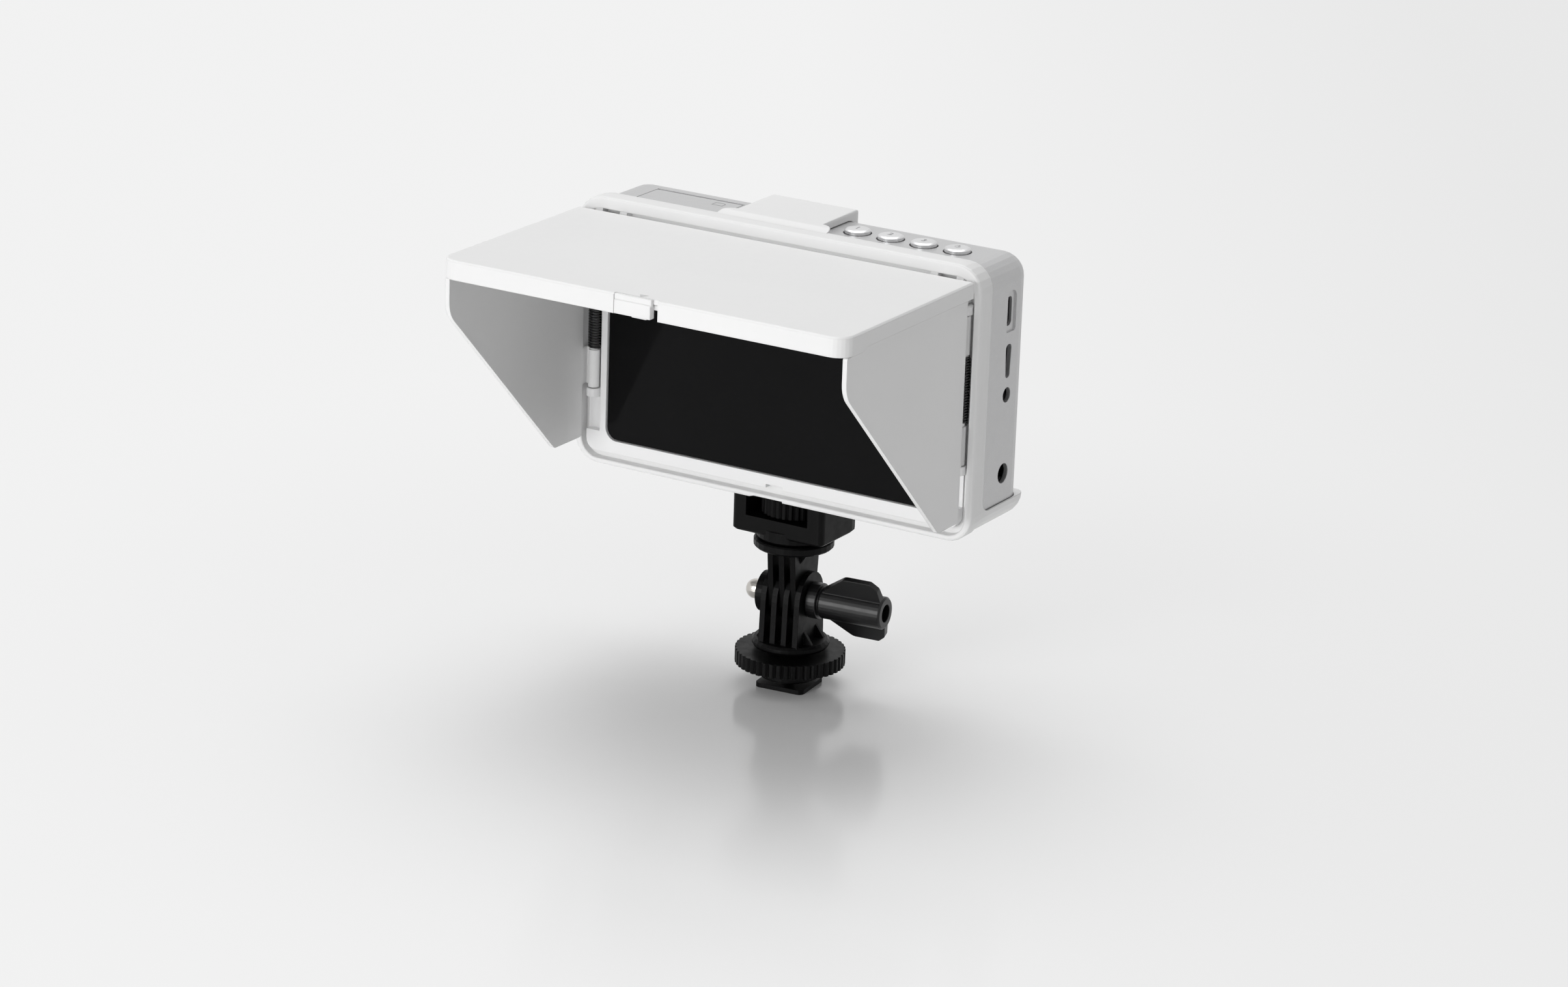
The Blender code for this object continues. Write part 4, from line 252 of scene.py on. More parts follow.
@dataclass(frozen=True)
class Finish:
    """A finish: two close colours that drift into each other, gloss, and a fine relief.

    Attributes:
        name: The material's name.
        slot: The record's material slot that it stands for.
        colour: The main colour.
        shadow: The colour of the darker drift.
        roughness: Lowest and highest roughness.
        relief: The relief's height in metres.
        round_edge: How far the shading rounds a sharp edge, in metres.
        specular: How strongly it mirrors where it isn't metal.
    """

    name: str
    slot: str
    colour: Colour
    shadow: Colour
    roughness: tuple[float, float]
    relief: float = 0.00001
    round_edge: float = 0.0003
    specular: float = 0.5

    def start(self) -> tuple[bpy.types.Material, Shade, bpy.types.Node]:
        """Make the material with its shader.

        Returns:
            The material, its node helper and its shader node.
        """
        material = bpy.data.materials.new(self.name)
        material.use_nodes = True
        material.diffuse_color = (*self.colour, 1.0)
        shader = material.node_tree.nodes["Principled BSDF"]
        shader.inputs["Specular IOR Level"].default_value = self.specular
        return material, Shade(material.node_tree), shader

    def tone(self, shade: Shade, shader: bpy.types.Node, mask: bpy.types.NodeSocket) -> None:
        """Mix the two colours by a mask.

        Args:
            shade: The material's node helper.
            shader: The shader node.
            mask: Where the darker colour shows.
        """
        mix = shade.node("ShaderNodeMix", data_type="RGBA")
        mix.inputs["A"].default_value = (*self.colour, 1.0)
        mix.inputs["B"].default_value = (*self.shadow, 1.0)
        shade.join(mask, mix.inputs["Factor"])
        shade.join(mix.outputs["Result"], shader.inputs["Base Color"])

    def relieve(self, shade: Shade, shader: bpy.types.Node, height: bpy.types.NodeSocket) -> None:
        """Round the sharp edges in the shading and add the fine relief on top.

        Args:
            shade: The material's node helper.
            shader: The shader node.
            height: The relief's height, from 0 to 1.
        """
        soft = shade.node("ShaderNodeBevel", samples=4)
        soft.inputs["Radius"].default_value = self.round_edge
        bump = shade.node("ShaderNodeBump")
        bump.inputs["Strength"].default_value = 1.0
        bump.inputs["Distance"].default_value = self.relief
        shade.join(height, bump.inputs["Height"])
        shade.join(soft.outputs[0], bump.inputs["Normal"])
        shade.join(bump.outputs[0], shader.inputs["Normal"])


@dataclass(frozen=True)
class MouldedFinish(Finish):
    """Moulded plastic or rubber with a spark-eroded grain.

    Attributes:
        grain: The grain's size in millimetres.
        coat: How strong its clear top layer is.
    """

    grain: float = 0.25
    coat: float = 0.0

    def material(self, groups: "Groups") -> bpy.types.Material:
        """Build the material.

        Args:
            groups: The shared shader groups.

        Returns:
            The finished material.
        """
        material, shade, shader = self.start()
        grain = shade.node("ShaderNodeGroup", node_tree=groups.grain)
        grain.inputs["Grain Size"].default_value = self.grain
        dust = shade.node("ShaderNodeGroup", node_tree=groups.dust)
        dust.inputs["Amount"].default_value = 0.35
        drift = shade.spread(grain.outputs["Drift"], 0.0, 0.7)
        self.tone(shade, shader, shade.math("MAXIMUM", drift, dust.outputs["Smudge"]))
        gloss = shade.spread(grain.outputs["Gloss"], *self.roughness)
        shade.join(gloss, shader.inputs["Roughness"])
        shader.inputs["Coat Weight"].default_value = self.coat
        shader.inputs["Coat Roughness"].default_value = 0.18
        self.relieve(shade, shader, grain.outputs["Grain"])
        return material


@dataclass(frozen=True)
class MetalFinish(Finish):
    """Metal with fine lines from brushing or turning.

    Attributes:
        line: The lines' width in millimetres.
        length: The lines' length in millimetres.
        metallic: How metallic the shader is.
    """

    line: float = 0.08
    length: float = 10.0
    metallic: float = 1.0

    def material(self, groups: "Groups") -> bpy.types.Material:
        """Build the material.

        Args:
            groups: The shared shader groups.

        Returns:
            The finished material.
        """
        material, shade, shader = self.start()
        lines = shade.node("ShaderNodeGroup", node_tree=groups.lines)
        lines.inputs["Line Length"].default_value = self.length
        lines.inputs["Line Width"].default_value = self.line
        self.tone(shade, shader, shade.spread(lines.outputs["Drift"], 0.0, 1.0))
        shade.join(
            shade.spread(lines.outputs["Lines"], *self.roughness), shader.inputs["Roughness"]
        )
        shader.inputs["Metallic"].default_value = self.metallic
        self.relieve(shade, shader, lines.outputs["Lines"])
        return material


@dataclass(frozen=True)
class SilverPaintFinish(Finish):
    """Satin silver: a metallic base with sparkling flakes under a thin clear coat.

    Attributes:
        flake: The flakes' size in millimetres.
    """

    flake: float = 0.11

    def material(self, groups: "Groups") -> bpy.types.Material:
        """Build the material.

        Args:
            groups: The shared shader groups.

        Returns:
            The finished material.
        """
        material, shade, shader = self.start()
        grain = shade.node("ShaderNodeGroup", node_tree=groups.grain)
        grain.inputs["Grain Size"].default_value = self.flake
        self.tone(shade, shader, shade.spread(grain.outputs["Grain"], 0.0, 1.0))
        gloss = shade.spread(grain.outputs["Gloss"], *self.roughness)
        shade.join(gloss, shader.inputs["Roughness"])
        shader.inputs["Metallic"].default_value = 0.7
        shader.inputs["Coat Weight"].default_value = 0.12
        shader.inputs["Coat Roughness"].default_value = 0.30
        self.relieve(shade, shader, grain.outputs["Grain"])
        return material


@dataclass(frozen=True)
class ScreenGlassFinish(Finish):
    """The dark glass of a switched-off screen, with faint dust and smudges."""

    def material(self, groups: "Groups") -> bpy.types.Material:
        """Build the material.

        Args:
            groups: The shared shader groups.

        Returns:
            The finished material.
        """
        material, shade, shader = self.start()
        dust = shade.node("ShaderNodeGroup", node_tree=groups.dust)
        dust.inputs["Amount"].default_value = 0.6
        dust.inputs["Speck Size"].default_value = 0.5
        self.tone(shade, shader, dust.outputs["Smudge"])
        smear = shade.spread(dust.outputs["Smudge"], *self.roughness)
        specks = shade.math("MULTIPLY", dust.outputs["Specks"], 0.3)
        shade.join(shade.math("ADD", smear, specks), shader.inputs["Roughness"])
        return material


@dataclass(frozen=True)
class BoardFinish(Finish):
    """A circuit board: solder mask with copper tracks showing through."""

    def material(self, groups: "Groups") -> bpy.types.Material:
        """Build the material.

        Args:
            groups: The shared shader groups.

        Returns:
            The finished material.
        """
        material, shade, shader = self.start()
        place = shade.node("ShaderNodeTexCoord").outputs["Object"]
        bricks = shade.node("ShaderNodeTexBrick", offset=0.35, squash=0.6, squash_frequency=3)
        bricks.inputs["Scale"].default_value = 190.0
        bricks.inputs["Mortar Size"].default_value = 0.06
        shade.join(place, bricks.inputs["Vector"])
        self.tone(shade, shader, bricks.outputs["Fac"])
        grain = shade.node("ShaderNodeGroup", node_tree=groups.grain)
        shade.join(
            shade.spread(grain.outputs["Gloss"], *self.roughness), shader.inputs["Roughness"]
        )
        self.relieve(shade, shader, bricks.outputs["Fac"])
        return material


@dataclass
class Groups:
    """The shader groups that the finishes share."""

    grain: bpy.types.NodeTree = field(default_factory=moulded_grain)
    lines: bpy.types.NodeTree = field(default_factory=brushed_lines)
    dust: bpy.types.NodeTree = field(default_factory=fine_dust)


class Look(Enum):
    """Every finish of the product, by the name that the pieces use."""

    HOOD = MouldedFinish(
        "hood_white_plastic", "hood_white", (0.84, 0.84, 0.838), (0.815, 0.815, 0.815), (0.38, 0.5),
        0.000004, 0.0005, 0.4, grain=0.30,
    )
    BEZEL = MouldedFinish(
        "bezel_white_plastic", "bezel_white", (0.84, 0.84, 0.84), (0.815, 0.815, 0.82),
        (0.34, 0.46), 0.000004, 0.0004, 0.4, grain=0.26,
    )
    BODY = SilverPaintFinish(
        "body_satin_silver", "body_silver", (0.61, 0.61, 0.613), (0.51, 0.51, 0.514), (0.32, 0.40),
        0.000004, 0.0004, flake=0.14,
    )
    BUTTON = MetalFinish(
        "button_bright_silver", "button_silver", (0.74, 0.74, 0.745), (0.66, 0.66, 0.665),
        (0.28, 0.36), 0.0000015, 0.0001, line=0.05, length=3.0,
    )
    MOUNT = MouldedFinish(
        "mount_black_plastic", "mount_black", (0.0016, 0.0016, 0.0017), (0.0028, 0.0028, 0.0029),
        (0.34, 0.46), 0.000008, 0.0003, 0.10, grain=0.34,
    )
    KNOB = MouldedFinish(
        "knob_black_plastic", "knob_black", (0.005, 0.005, 0.0054), (0.008, 0.008, 0.0083),
        (0.28, 0.36), 0.000002, 0.0005, 0.36, grain=0.30,
    )
    STEEL = MetalFinish(
        "polished_steel", "steel", (0.66, 0.64, 0.60), (0.55, 0.53, 0.50), (0.12, 0.24),
        0.000002, 0.0002, line=0.05, length=1.5,
    )
    SPRING = MetalFinish(
        "black_spring_wire", "spring_black", (0.0025, 0.0025, 0.0027), (0.0015, 0.0015, 0.0017),
        (0.14, 0.20), 0.000001, 0.0001, 0.45, line=0.06, length=0.8, metallic=0.0,
    )
    GLASS = ScreenGlassFinish(
        "screen_glass", "glass_black", (0.0034, 0.0034, 0.0036), (0.0050, 0.0050, 0.0053),
        (0.05, 0.10), specular=0.08,
    )
    PANEL = ScreenGlassFinish(
        "display_panel", "panel_black", (0.02, 0.02, 0.024), (0.03, 0.03, 0.034), (0.2, 0.3),
    )
    LIGHT = MouldedFinish(
        "light_guide", "backlight_white", (0.76, 0.77, 0.79), (0.70, 0.71, 0.73), (0.4, 0.5),
    )
    BOARD = BoardFinish(
        "circuit_board", "board_green", (0.008, 0.035, 0.020), (0.02, 0.07, 0.04), (0.3, 0.42),
        0.00003, 0.0001,
    )
    SOCKET = MouldedFinish(
        "socket_black_plastic", "socket_black", (0.016, 0.016, 0.017), (0.024, 0.024, 0.025),
        (0.34, 0.46), 0.000004, 0.0001, grain=0.2,
    )
    PLATED = MetalFinish(
        "socket_plated_metal", "socket_metal", (0.60, 0.60, 0.61), (0.48, 0.48, 0.49), (0.2, 0.34),
        0.000003, 0.0001, line=0.06, length=2.0,
    )
    RUBBER = MouldedFinish(
        "pad_rubber_grip", "pad_rubber", (0.022, 0.022, 0.022), (0.032, 0.032, 0.032), (0.7, 0.85),
        0.00004, 0.0003, grain=0.6,
    )
    BRASS = MetalFinish(
        "turned_brass", "brass", (0.62, 0.44, 0.19), (0.50, 0.33, 0.13), (0.22, 0.34),
        0.000004, 0.0001, line=0.06, length=1.5,
    )
    INK = MouldedFinish(
        "grey_marking_ink", "button_silver", (0.30, 0.30, 0.31), (0.26, 0.26, 0.27), (0.5, 0.6),
        0.000003, 0.0001, grain=0.12,
    )
    PALE_INK = MouldedFinish(
        "pale_arrow_ink", "hood_white", (0.60, 0.60, 0.60), (0.56, 0.56, 0.56), (0.5, 0.6),
        0.000003, 0.0001, grain=0.12,
    )


INKS = (Look.INK, Look.PALE_INK)


class Wardrobe:
    """Makes each finish's material once and dresses pieces with it."""

    def __init__(self) -> None:
        """Build the shared groups and an empty store of materials."""
        self.groups = Groups()
        self.store: dict[str, bpy.types.Material] = {}

    def material(self, look: Look) -> bpy.types.Material:
        """The material of a finish, made the first time it is asked for."""
        if look.name not in self.store:
            self.store[look.name] = look.value.material(self.groups)
        return self.store[look.name]

    def dress(self, piece: bpy.types.Object, look: Look) -> None:
        """Put a finish on a piece, in place of any other."""
        piece.data.materials.clear()
        piece.data.materials.append(self.material(look))

    def dress_nodes(self, record: dict) -> None:
        """Put the finish of its slot on every CAD node.

        Args:
            record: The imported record, which gives each node's material slot.
        """
        by_slot = {look.value.slot: look for look in reversed(Look) if look not in INKS}
        for entry in record["subparts"]:
            node = FRAME["nodes"][entry["node"]]
            self.dress(node, by_slot[entry["material_slot"]])
            LOG.info("%s dressed as %s", entry["node"], entry["material_slot"])


# ---------------------------------------------------------------- modelling helpers


def clear_selection() -> None:
    """Deselect everything, so that an operator acts on the new piece alone."""
    if bpy.context.object and bpy.context.object.mode != "OBJECT":
        bpy.ops.object.mode_set(mode="OBJECT")
    bpy.ops.object.select_all(action="DESELECT")


def hold(piece: bpy.types.Object) -> None:
    """Select one piece alone and make it active."""
    clear_selection()
    piece.select_set(True)
    bpy.context.view_layer.objects.active = piece


def settle(piece: bpy.types.Object, name: str) -> bpy.types.Object:
    """Name a piece, write its place into its mesh, and point its faces outwards.

    Args:
        piece: The finished piece.
        name: Its name in the model.

    Returns:
        The same piece.
    """
    hold(piece)
    piece.name = name
    piece.data.name = name
    bpy.ops.object.transform_apply(location=True, rotation=True, scale=True)
    bpy.ops.object.mode_set(mode="EDIT")
    bpy.ops.mesh.select_all(action="SELECT")
    bpy.ops.mesh.remove_doubles(threshold=MERGE)
    bpy.ops.mesh.normals_make_consistent(inside=False)
    bpy.ops.object.mode_set(mode="OBJECT")
    bpy.ops.object.shade_smooth_by_angle(angle=SMOOTH_BELOW)
    piece.select_set(False)
    return piece


def apply_modifier(piece: bpy.types.Object, kind: str, **values: object) -> None:
    """Add a modifier with its settings and apply it.

    Args:
        piece: The piece.
        kind: The modifier's type.
        values: The modifier's settings.
    """
    hold(piece)
    step = piece.modifiers.new(kind.lower(), kind)
    for name, value in values.items():
        setattr(step, name, value)
    bpy.ops.object.modifier_apply(modifier=step.name)


def copy_node(name: str) -> bpy.types.Object:
    """Copy a CAD node's mesh into a new piece and merge its loose triangles.

    Args:
        name: The node's name.

    Returns:
        The copy.
    """
    node = FRAME["nodes"][name]
    piece = bpy.data.objects.new(name + "_copy", node.data.copy())
    bpy.context.scene.collection.objects.link(piece)
    hold(piece)
    bpy.ops.object.mode_set(mode="EDIT")
    bpy.ops.mesh.select_all(action="SELECT")
    bpy.ops.mesh.remove_doubles(threshold=MERGE)
    bpy.ops.mesh.dissolve_limited(angle_limit=math.radians(0.3))
    bpy.ops.object.mode_set(mode="OBJECT")
    return piece


def outline_solid(points: list[Vector], low: float, high: float) -> bpy.types.Object:
    """An upright solid over a flat outline.

    Args:
        points: The outline, seen from above.
        low: The height of its bottom.
        high: The height of its top.

    Returns:
        The solid.
    """
    clear_selection()
    bpy.ops.mesh.primitive_circle_add(vertices=len(points), radius=1.0, fill_type="NGON")
    solid = bpy.context.object
    for vertex, point in zip(solid.data.vertices, points):
        vertex.co = (point.x, point.y, low)
    bpy.ops.object.mode_set(mode="EDIT")
    bpy.ops.mesh.select_all(action="SELECT")
    bpy.ops.mesh.extrude_region_move(TRANSFORM_OT_translate={"value": (0, 0, high - low)})
    bpy.ops.mesh.select_all(action="SELECT")
    bpy.ops.mesh.normals_make_consistent(inside=False)
    bpy.ops.object.mode_set(mode="OBJECT")
    return solid


def carve(piece: bpy.types.Object, tool: bpy.types.Object, operation: str) -> None:
    """Cut a solid out of a piece, or join it on, and delete the solid.

    Args:
        piece: The piece.
        tool: The solid.
        operation: DIFFERENCE or UNION.
    """
    apply_modifier(piece, "BOOLEAN", operation=operation, solver="EXACT", object=tool)
    bpy.data.objects.remove(tool)


# ---------------------------------------------------------------- studio


@dataclass(frozen=True)
class Lamp:
    """A square soft lamp that faces the object.

    Attributes:
        name: Its name.
        place: Where it hangs.
        size: Its side.
        power: Its power in watts.
    """

    name: str
    place: tuple[float, float, float]
    size: float
    power: float

    def hang(self) -> None:
        """Make the lamp and turn it to the object."""
        data = bpy.data.lights.new(self.name, "AREA")
        data.size = self.size
        data.energy = self.power
        lamp = bpy.data.objects.new(self.name, data)
        lamp.location = self.place
        to_object = Vector((0, -0.04, 0.10)) - Vector(self.place)
        lamp.rotation_mode = "QUATERNION"
        lamp.rotation_quaternion = to_object.to_track_quat("-Z", "Y")
        bpy.context.scene.collection.objects.link(lamp)


@dataclass
class Studio:
    """The pale floor and backdrop, the lamps, and the camera at the photo's angle.

    Attributes:
        aim: The point at the picture's middle.
        distance: From that point to the camera.
        azimuth: The camera's turn round the object, in degrees.
        elevation: Its height above the horizon, in degrees.
        roll: Its lean, in degrees.
        lens: Its focal length in millimetres.
        floor_half: Half the floor's side.
        left_grey: The backdrop's grey on the left of the object, the lamps' side, brighter there as
            painted light.
        right_grey: The backdrop's grey on its right, darker there as painted shade.
        floor_reach: Where the floor's grey has changed to the right's.
        world_reach: The same for the world, as part of a direction.
        fade_start: Where the floor starts to fade into the backdrop's glow; this close to the foot
            the glow also paints light over the floor's shadow.
        fade_end: Where it has faded.
        fill: The strength of the even light from all sides.
        lamps: The lamps.
    """

    aim: Vector = field(default_factory=lambda: Vector((0.02806, -0.05530, 0.09053)))
    distance: float = 1.583
    azimuth: float = 30.64
    elevation: float = 18.34
    roll: float = 1.966
    lens: float = 109.24
    floor_half: float = 6.0
    left_grey: float = 0.885
    right_grey: float = 0.81
    floor_reach: float = 0.36
    world_reach: float = 0.7
    fade_start: float = 0.02
    fade_end: float = 0.38
    fill: float = 0.33
    lamps: tuple[Lamp, ...] = (
        Lamp("front", (-0.26, -1.75, 0.26), 1.1, 22.5),
        Lamp("top", (-0.25, 0.25, 1.60), 1.4, 14.6),
    )

    def build(self) -> None:
        """Build the floor, the world, the lamps and the camera."""
        self.build_camera()
        self.build_floor()
        self.build_world()
        for lamp in self.lamps:
            lamp.hang()
        bpy.context.scene.view_settings.view_transform = "Standard"

    def build_camera(self) -> None:
        """Set the camera up at the photograph's viewing angle."""
        data = bpy.data.cameras.new("camera")
        data.lens = self.lens
        data.sensor_width = 36.0
        data.clip_start = 0.05
        data.clip_end = 50.0
        camera = bpy.data.objects.new("camera", data)
        turn = Matrix.Rotation(math.radians(self.azimuth), 4, "Z")
        nod = Matrix.Rotation(math.radians(90.0 - self.elevation), 4, "X")
        lean = Matrix.Rotation(math.radians(self.roll), 4, "Z")
        view = turn @ nod @ lean
        back = view @ Vector((0, 0, 1))
        camera.matrix_world = Matrix.Translation(self.aim + back * self.distance) @ view
        bpy.context.scene.collection.objects.link(camera)
        bpy.context.scene.camera = camera

    def build_floor(self) -> None:
        """Lay the pale floor; far away it fades into a glow of the backdrop's grey, which starts
        near the foot and so paints light over part of the floor's shadow.
        """
        clear_selection()
        bpy.ops.mesh.primitive_plane_add(size=2 * self.floor_half, location=(0, 0, 0))
        floor = bpy.context.object
        bpy.ops.object.mode_set(mode="EDIT")
        bpy.ops.mesh.subdivide(number_cuts=6)
        bpy.ops.object.mode_set(mode="OBJECT")
        floor.name = "floor"
        material = bpy.data.materials.new("floor_pale")
        material.use_nodes = True
        shade = Shade(material.node_tree)
        shader = material.node_tree.nodes["Principled BSDF"]
        shader.inputs["Base Color"].default_value = (0.93, 0.93, 0.93, 1.0)
        shader.inputs["Roughness"].default_value = 0.17
        shader.inputs["Specular IOR Level"].default_value = 0.5
        glow = shade.node("ShaderNodeEmission")
        place = shade.node("ShaderNodeTexCoord").outputs["Object"]
        shade.join(self.backdrop_grey(shade, place, self.floor_reach), glow.inputs["Color"])
        away = shade.node("ShaderNodeVectorMath", operation="LENGTH")
        shade.join(place, away.inputs[0])
        # Painted light: the glow begins close to the foot and lightens the floor's cast shadow
        # there.
        fade = shade.node("ShaderNodeMapRange", interpolation_type="SMOOTHSTEP")
        fade.inputs["From Min"].default_value = self.fade_start
        fade.inputs["From Max"].default_value = self.fade_end
        shade.join(away.outputs["Value"], fade.inputs["Value"])
        mix = shade.node("ShaderNodeMixShader")
        shade.join(fade.outputs["Result"], mix.inputs[0])
        shade.join(shader.outputs[0], mix.inputs[1])
        shade.join(glow.outputs[0], mix.inputs[2])
        plain = shade.node("ShaderNodeMixShader")
        seen = self.seen_directly(shade)
        shade.join(seen, plain.inputs[0])
        shade.join(shader.outputs[0], plain.inputs[1])
        shade.join(mix.outputs[0], plain.inputs[2])
        out = material.node_tree.nodes["Material Output"]
        shade.join(plain.outputs[0], out.inputs["Surface"])
        floor.data.materials.append(material)

    def seen_directly(self, shade: Shade) -> bpy.types.NodeSocket:
        """A mask that is 1 where the backdrop is seen by the camera, in gloss or through glass.

        Args:
            shade: The node helper.

        Returns:
            The mask's socket.
        """
        path = shade.node("ShaderNodeLightPath")
        gloss, through = path.outputs["Is Glossy Ray"], path.outputs["Is Transmission Ray"]
        beyond = shade.math("MAXIMUM", gloss, through)
        return shade.math("MAXIMUM", path.outputs["Is Camera Ray"], beyond)

    def backdrop_grey(
        self, shade: Shade, place: bpy.types.NodeSocket, reach: float
    ) -> bpy.types.NodeSocket:
        """The backdrop's grey, with painted light fall-off: brighter on the left of the object, the
        lamps' side, than on its right.

        Args:
            shade: The node helper.
            place: The point on the floor, or the direction in the world.
            reach: How far to each side the grey changes.

        Returns:
            The grey's colour socket.
        """
        # Painted light fall-off: the grey darkens from the lamps' side, on the left, towards the
        # right.
        along = shade.node("ShaderNodeVectorMath", operation="DOT_PRODUCT")
        shade.join(place, along.inputs[0])
        azimuth = math.radians(self.azimuth)
        along.inputs[1].default_value = (math.cos(azimuth), math.sin(azimuth), 0.0)
        grey = shade.node("ShaderNodeMapRange")
        grey.inputs["From Min"].default_value = 0.0
        grey.inputs["From Max"].default_value = reach
        grey.inputs["To Min"].default_value = self.left_grey
        grey.inputs["To Max"].default_value = self.right_grey
        shade.join(along.outputs["Value"], grey.inputs["Value"])
        colour = shade.node("ShaderNodeCombineColor")
        for channel in colour.inputs:
            shade.join(grey.outputs["Result"], channel)
        return colour.outputs[0]

    def build_world(self) -> None:
        """An even soft fill, with the backdrop's grey where it is seen."""
        world = bpy.data.worlds.new("studio")
        world.use_nodes = True
        shade = Shade(world.node_tree)
        fill = world.node_tree.nodes["Background"]
        fill.inputs["Color"].default_value = (1.0, 1.0, 1.0, 1.0)
        fill.inputs["Strength"].default_value = self.fill
        seen = shade.node("ShaderNodeBackground")
        direction = shade.node("ShaderNodeTexCoord").outputs["Generated"]
        grey = self.backdrop_grey(shade, direction, self.world_reach)
        shade.join(grey, seen.inputs["Color"])
        mix = shade.node("ShaderNodeMixShader")
        shade.join(self.seen_directly(shade), mix.inputs[0])
        shade.join(fill.outputs[0], mix.inputs[1])
        shade.join(seen.outputs[0], mix.inputs[2])
        shade.join(mix.outputs[0], world.node_tree.nodes["World Output"].inputs["Surface"])
        bpy.context.scene.world = world


# ---------------------------------------------------------------- pieces


@dataclass
class TorsionSpring:
    """One torsion spring of a side flap: a close coil round the hinge's core.

    Attributes:
        side: -1 for the left flap, 1 for the right.
        node: The CAD node that it replaces.
        wire: The wire's radius.
        pitch: The rise of one turn.
        facets: How many sides the wire's section has.
        steps: How many steps a turn has.
    """

    side: int
    node: str
    wire: float = 0.41 * MM
    pitch: float = 0.98 * MM
    facets: int = 10
    steps: int = 24

    def build(self, wardrobe: Wardrobe) -> bpy.types.Object:
        """Model the coil and dress it.

        Args:
            wardrobe: Gives the finish.

        Returns:
            The new piece.
        """
        low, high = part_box(self.node)
        centre = (low + high) / 2
        radius = (high.x - low.x) / 2 - self.wire
        climb = high.z - low.z - 2 * self.wire
        turns = round(climb / self.pitch)
        clear_selection()
        bpy.ops.mesh.primitive_circle_add(
            vertices=self.facets,
            radius=self.wire,
            fill_type="NOTHING",
            rotation=(math.pi / 2, 0, 0),
            location=(0, 0, 0),
        )
        coil = bpy.context.object
        bpy.ops.object.transform_apply(location=False, rotation=True, scale=False)
        bpy.ops.object.mode_set(mode="EDIT")
        bpy.ops.mesh.select_all(action="SELECT")
        bpy.ops.transform.translate(value=(radius, 0, 0))
        bpy.ops.object.mode_set(mode="OBJECT")
        apply_modifier(
            coil,
            "SCREW",
            axis="Z",
            angle=2 * math.pi * turns * self.side,
            screw_offset=climb,
            steps=self.steps * turns,
            render_steps=self.steps * turns,
            merge_threshold=0.00001,
        )
        hold(coil)
        bpy.ops.object.mode_set(mode="EDIT")
        bpy.ops.mesh.select_all(action="DESELECT")
        bpy.ops.mesh.select_non_manifold()
        bpy.ops.mesh.fill()
        bpy.ops.object.mode_set(mode="OBJECT")
        coil.location = (centre.x, centre.y, low.z + self.wire)
        settle(coil, self.node + "_coil")
        wardrobe.dress(coil, Look.SPRING)
        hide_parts(self.node)
        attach(coil, "head")
        return coil


@dataclass
class LatchArrow:
    """A small printed triangle on the lid, beside the latch.

    Attributes:
        length: From its foot to its tip.
        width: Its foot's width.
        thick: The ink's thickness.
        place: Its middle on the lid.
        turn: Its turn about the vertical.
    """

    length: float = 2.97 * MM
    width: float = 3.2 * MM
    thick: float = 0.03 * MM
    place: tuple[float, float] = (0.33 * MM, -101.84 * MM)
    turn: float = math.radians(-55.3)

    def build(self, wardrobe: Wardrobe) -> bpy.types.Object:
        """Model the triangle and dress it.

        Args:
            wardrobe: Gives the finish.

        Returns:
            The new piece.
        """
        clear_selection()
        bpy.ops.mesh.primitive_circle_add(vertices=3, radius=1.0, fill_type="NGON")
        arrow = bpy.context.object
        bpy.ops.object.mode_set(mode="EDIT")
        bpy.ops.mesh.select_all(action="SELECT")
        bpy.ops.mesh.extrude_region_move(TRANSFORM_OT_translate={"value": (0, 0, 1)})
        bpy.ops.object.mode_set(mode="OBJECT")
        arrow.scale = (self.width / math.sqrt(3), self.length / 1.5, self.thick)
        arrow.rotation_euler = (0, 0, self.turn)
        arrow.location = (*self.place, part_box("sun_lid")[1].z)
        settle(arrow, "latch_arrow")
        wardrobe.dress(arrow, Look.PALE_INK)
        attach(arrow, "lid")
        return arrow


